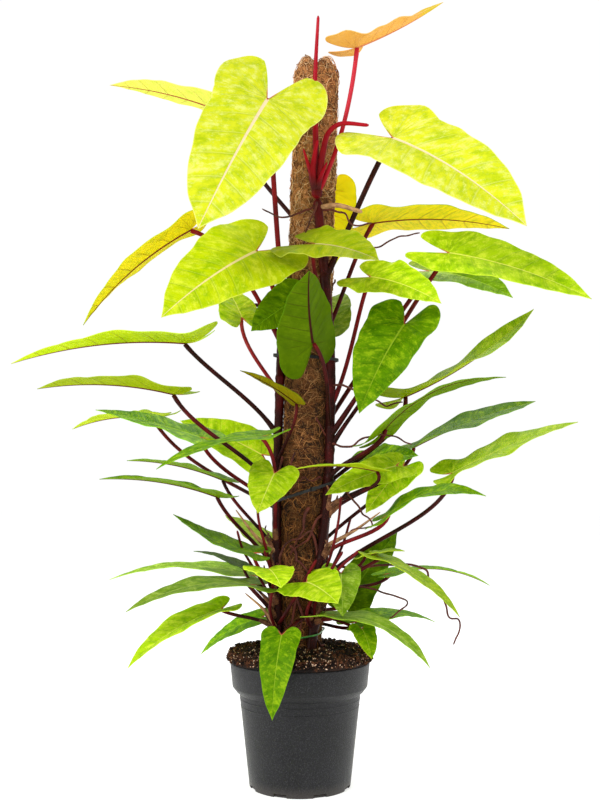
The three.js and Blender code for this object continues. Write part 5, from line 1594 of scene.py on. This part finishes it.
@dataclass
class Soil:
    """The heaped bark and peat, with loose crumbs and pale flecks on it."""

    top: float = 204
    radius: float = 108.5
    crumbs: int = 2200
    at_rim: float = 0.34

    def height(self, x: np.ndarray, y: np.ndarray) -> np.ndarray:
        """The heap's height over the floor."""
        r = np.hypot(x, y)
        known = [0, 64, 88, 105.5, 108.5]
        level = np.interp(r, known, [self.top + 1, self.top, self.top - 3, 197, 190])
        lump = np.sin(0.19 * x + 1.3) * np.cos(0.16 * y) + 0.5 * np.sin(0.31 * y - 0.23 * x)
        return level + 2.2 * lump * np.clip((level - 188) / 8, 0, 1)

    def mound(self) -> bpy.types.Object:
        """Models the heap, down to the pot's floor."""
        angle = np.linspace(0, 2 * math.pi, 145)
        rings = np.array([0, *np.linspace(4, 106, 46), 107.6, 108.5])[::-1]
        x, y = rings[:, None] * np.cos(angle), rings[:, None] * np.sin(angle)
        z = self.height(x, y)
        places = np.stack([x, y, z], axis=-1)
        lumps = rough(places, ((1.2, 14, 31, 9), (1.1, 6, 32, 14), (0.5, 3, 33, 18)))
        places[..., 2] += lumps * np.clip((107.6 - rings) / 6, 0, 1)[:, None]
        skirt = [(73, 3.3), (88.3, 139), (98.8, 148.2), (101.7, 182.6), (105, 182.9), (108.5, 187)]
        skirt = [(0, 3.3), *skirt]
        walls = [[(r * math.cos(a), r * math.sin(a), h) for a in angle] for r, h in skirt]
        piece = sheet("soil_heap", np.concatenate([np.array(walls), places]))
        merged(piece, 1e-5)
        outward(piece)
        smooth(piece, 180)
        return piece

    def chips(
        self, name: str, count: int, seed: int, size: tuple[float, float]
    ) -> bpy.types.Object:
        """Scatters crumbs over the heap.

        Args:
            name: The piece's name.
            count: How many crumbs.
            seed: The seed of their shapes and places.
            size: The least and greatest half-length of a crumb.

        Returns:
            The crumbs as one mesh.
        """
        draw = random.Random(seed)
        shapes = []
        for _ in range(5):
            bpy.ops.object.select_all(action="DESELECT")
            bpy.ops.mesh.primitive_ico_sphere_add(subdivisions=1, radius=1)
            shape = added("crumb")
            corners = points_of(shape) * (1, draw.uniform(0.5, 0.8), draw.uniform(0.25, 0.5))
            jitter = np.array([[draw.uniform(-0.2, 0.2) for _ in range(3)] for _ in corners])
            moved_to(shape, corners + jitter)
            shapes.append(shape)
        made = []
        for _ in range(count):
            reach, angle = 108.6 * draw.random() ** 0.42, draw.uniform(0, 2 * math.pi)
            x, y = reach * math.cos(angle), reach * math.sin(angle)
            z = float(self.height(np.array(x), np.array(y))) + draw.uniform(-0.4, 1.2)
            if draw.random() < self.at_rim:
                z = draw.uniform(186.5, 199)
                reach = 105.2 + 3.6 * math.sqrt(max(0.0, (199 - z) / 12.5))
                x, y = reach * math.cos(angle), reach * math.sin(angle)
            copy = draw.choice(shapes).copy()
            copy.data = copy.data.copy()
            bpy.context.scene.collection.objects.link(copy)
            copy.location = Vector((x, y, z)) * MM
            copy.rotation_euler = [draw.uniform(-1, 1), draw.uniform(-1, 1), draw.uniform(0, 6.28)]
            copy.scale = [draw.uniform(*size) * MM] * 3
            made.append(copy)
        alone(*made)
        bpy.ops.object.transform_apply(location=True, rotation=True, scale=True)
        for shape in shapes:
            bpy.data.objects.remove(shape)
        piece = joined(made, name)
        outward(piece)
        return piece

    def finish(self, name: str, dark: Colour, light: Colour) -> bpy.types.Material:
        """Crumbly bark and peat between two colours."""
        b = Brush(name)
        place = b.place()
        grain = b.noise(place, 420, 4, 0.65)
        crumb = b.cells(place, 260)
        patch = b.noise(place, 70, 3)
        colour = b.mix(b.step(grain + patch, 0.85, 1.2), linear(dark), linear(light))
        return b.done(colour, 0.92, grain + crumb * 0.6, 0.0015, 0.8, Specular_IOR_Level=0.2)

    def build(self) -> None:
        """Models and dresses the soil."""
        settle(self.mound(), self.finish("peat", (14, 8, 6), (48, 29, 19)), "soil", ["soil"])
        kinds = {
            "bark_crumbs": (self.crumbs, (1.3, 4.0), (20, 11, 8), (100, 60, 38)),
            "pale_flecks": (self.crumbs * 2 // 5, (0.7, 2.1), (186, 142, 112), (246, 216, 190)),
        }
        for seed, (name, (count, size, dark, light)) in enumerate(kinds.items()):
            piece = self.chips(name, count, 60 + seed, size)
            settle(piece, self.finish(name, dark, light), "soil", ["soil"])


@dataclass(frozen=True)
class TieFinish:
    """Moulded strap plastic."""

    colour: Colour
    ridge: Colour

    def dress(self, node: str, name: str) -> None:
        """Gives a strap's CAD node this finish."""
        b = Brush(name)
        place = b.place()
        teeth = b.math("PINGPONG", b.coordinate(place, 0), 0.0006) * 1666
        scuff = b.noise(place, 500, 2)
        colour = b.mix(b.step(scuff, 0.5, 0.75), linear(self.colour), linear(self.ridge))
        material = b.done(colour, scuff * 0.2 + 0.3, teeth * 0.5 + scuff, 0.0003, 0.4)
        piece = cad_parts[node]
        for slot in piece.material_slots:
            slot.material = material


# Studio


# Where each soft light hangs, its size in metres and its power in watts.
LAMPS = {
    "key": ((-1.7, -2.4, 2.7), 1.3, 62),
    "fill": ((2.4, -1.8, 1.5), 2.0, 14),
    "back": ((0.5, 2.0, 2.6), 1.6, 22),
    "left": ((-2.3, -0.6, 0.5), 1.3, 13),
    "right": ((2.3, 0.5, 0.7), 1.2, 9),
}


@dataclass
class Studio:
    """The pale floor, the soft lights and the camera."""

    room: float = 0.55
    seen: float = 1.02
    floor_glow: float = 0.54
    aim: Point = (0, 0, 0.6)
    stand: Point = (0, -1.625, 0.453)
    tilt: float = 94.35
    lens: float = 63.6

    def floor(self) -> None:
        """Lays a wide pale floor."""
        bpy.ops.object.select_all(action="DESELECT")
        bpy.ops.mesh.primitive_circle_add(vertices=64, radius=14, fill_type="NGON")
        piece = added("studio_floor")
        b = Brush("studio_floor")
        grain = b.noise(b.place(), 3, 2)
        colour = b.mix(b.step(grain, 0.3, 0.7), linear((236, 236, 235)), linear((242, 242, 241)))
        b.feed(b.shader.inputs["Emission Color"], (1.0, 1.0, 1.0, 1.0))
        piece.data.materials.append(b.done(colour, 0.9, Emission_Strength=self.floor_glow))

    def lights(self) -> None:
        """Hangs large soft lights in a white room."""
        world = bpy.data.worlds.new("white_room")
        bpy.context.scene.world = world
        world.use_nodes = True
        tree = world.node_tree
        sky = tree.nodes["Background"]
        sky.inputs["Color"].default_value = (1, 1, 1, 1)
        seen = tree.nodes.new("ShaderNodeLightPath")
        level = tree.nodes.new("ShaderNodeMapRange")
        level.inputs["To Min"].default_value = self.room
        level.inputs["To Max"].default_value = self.seen
        tree.links.new(seen.outputs["Is Camera Ray"], level.inputs["Value"])
        tree.links.new(level.outputs[0], sky.inputs["Strength"])
        for name, (spot, size, power) in LAMPS.items():
            lamp = bpy.data.lights.new(name, "AREA")
            lamp.size, lamp.energy = size, power
            hung = bpy.data.objects.new(name, lamp)
            hung.location = spot
            way = Vector(self.aim) - Vector(spot)
            hung.rotation_euler = way.to_track_quat("-Z", "Y").to_euler()
            bpy.context.scene.collection.objects.link(hung)

    def camera(self) -> None:
        """Stands the camera where the photograph was taken from."""
        lens = bpy.data.cameras.new("camera")
        lens.sensor_fit = "HORIZONTAL"
        lens.sensor_width = 36
        lens.lens = self.lens
        lens.clip_end = 60
        stand = bpy.data.objects.new("camera", lens)
        stand.location = self.stand
        stand.rotation_euler = (math.radians(self.tilt), 0, 0)
        bpy.context.scene.collection.objects.link(stand)
        bpy.context.scene.camera = stand
        bpy.context.scene.view_settings.view_transform = "Standard"

    def build(self) -> None:
        """Sets the studio up."""
        self.floor()
        self.lights()
        self.camera()


def main() -> None:
    """Builds the plant, its pot and the studio."""
    logging.basicConfig(level=logging.INFO, format="%(message)s")
    Studio().build()
    Pot().build()
    Soil().build()
    CoirPole().build()
    finishes = {kind: finish.material(name) for kind, (name, finish) in SKINS.items()}
    for name, stem in STEMS.items():
        Climber(name, stem).build(finishes)
    ClingingRoots().build(finishes["clinging"])
    NewGrowth().build(finishes)
    black = TieFinish((20, 20, 21), (52, 52, 54))
    black.dress("tie_upper", "strap_upper")
    black.dress("tie_lower", "strap_lower")
    TieFinish((46, 120, 34), (92, 170, 70)).dress("tie_green", "strap_green")
    Foliage(LEAVES).build()


if __name__ == "__main__":
    main()
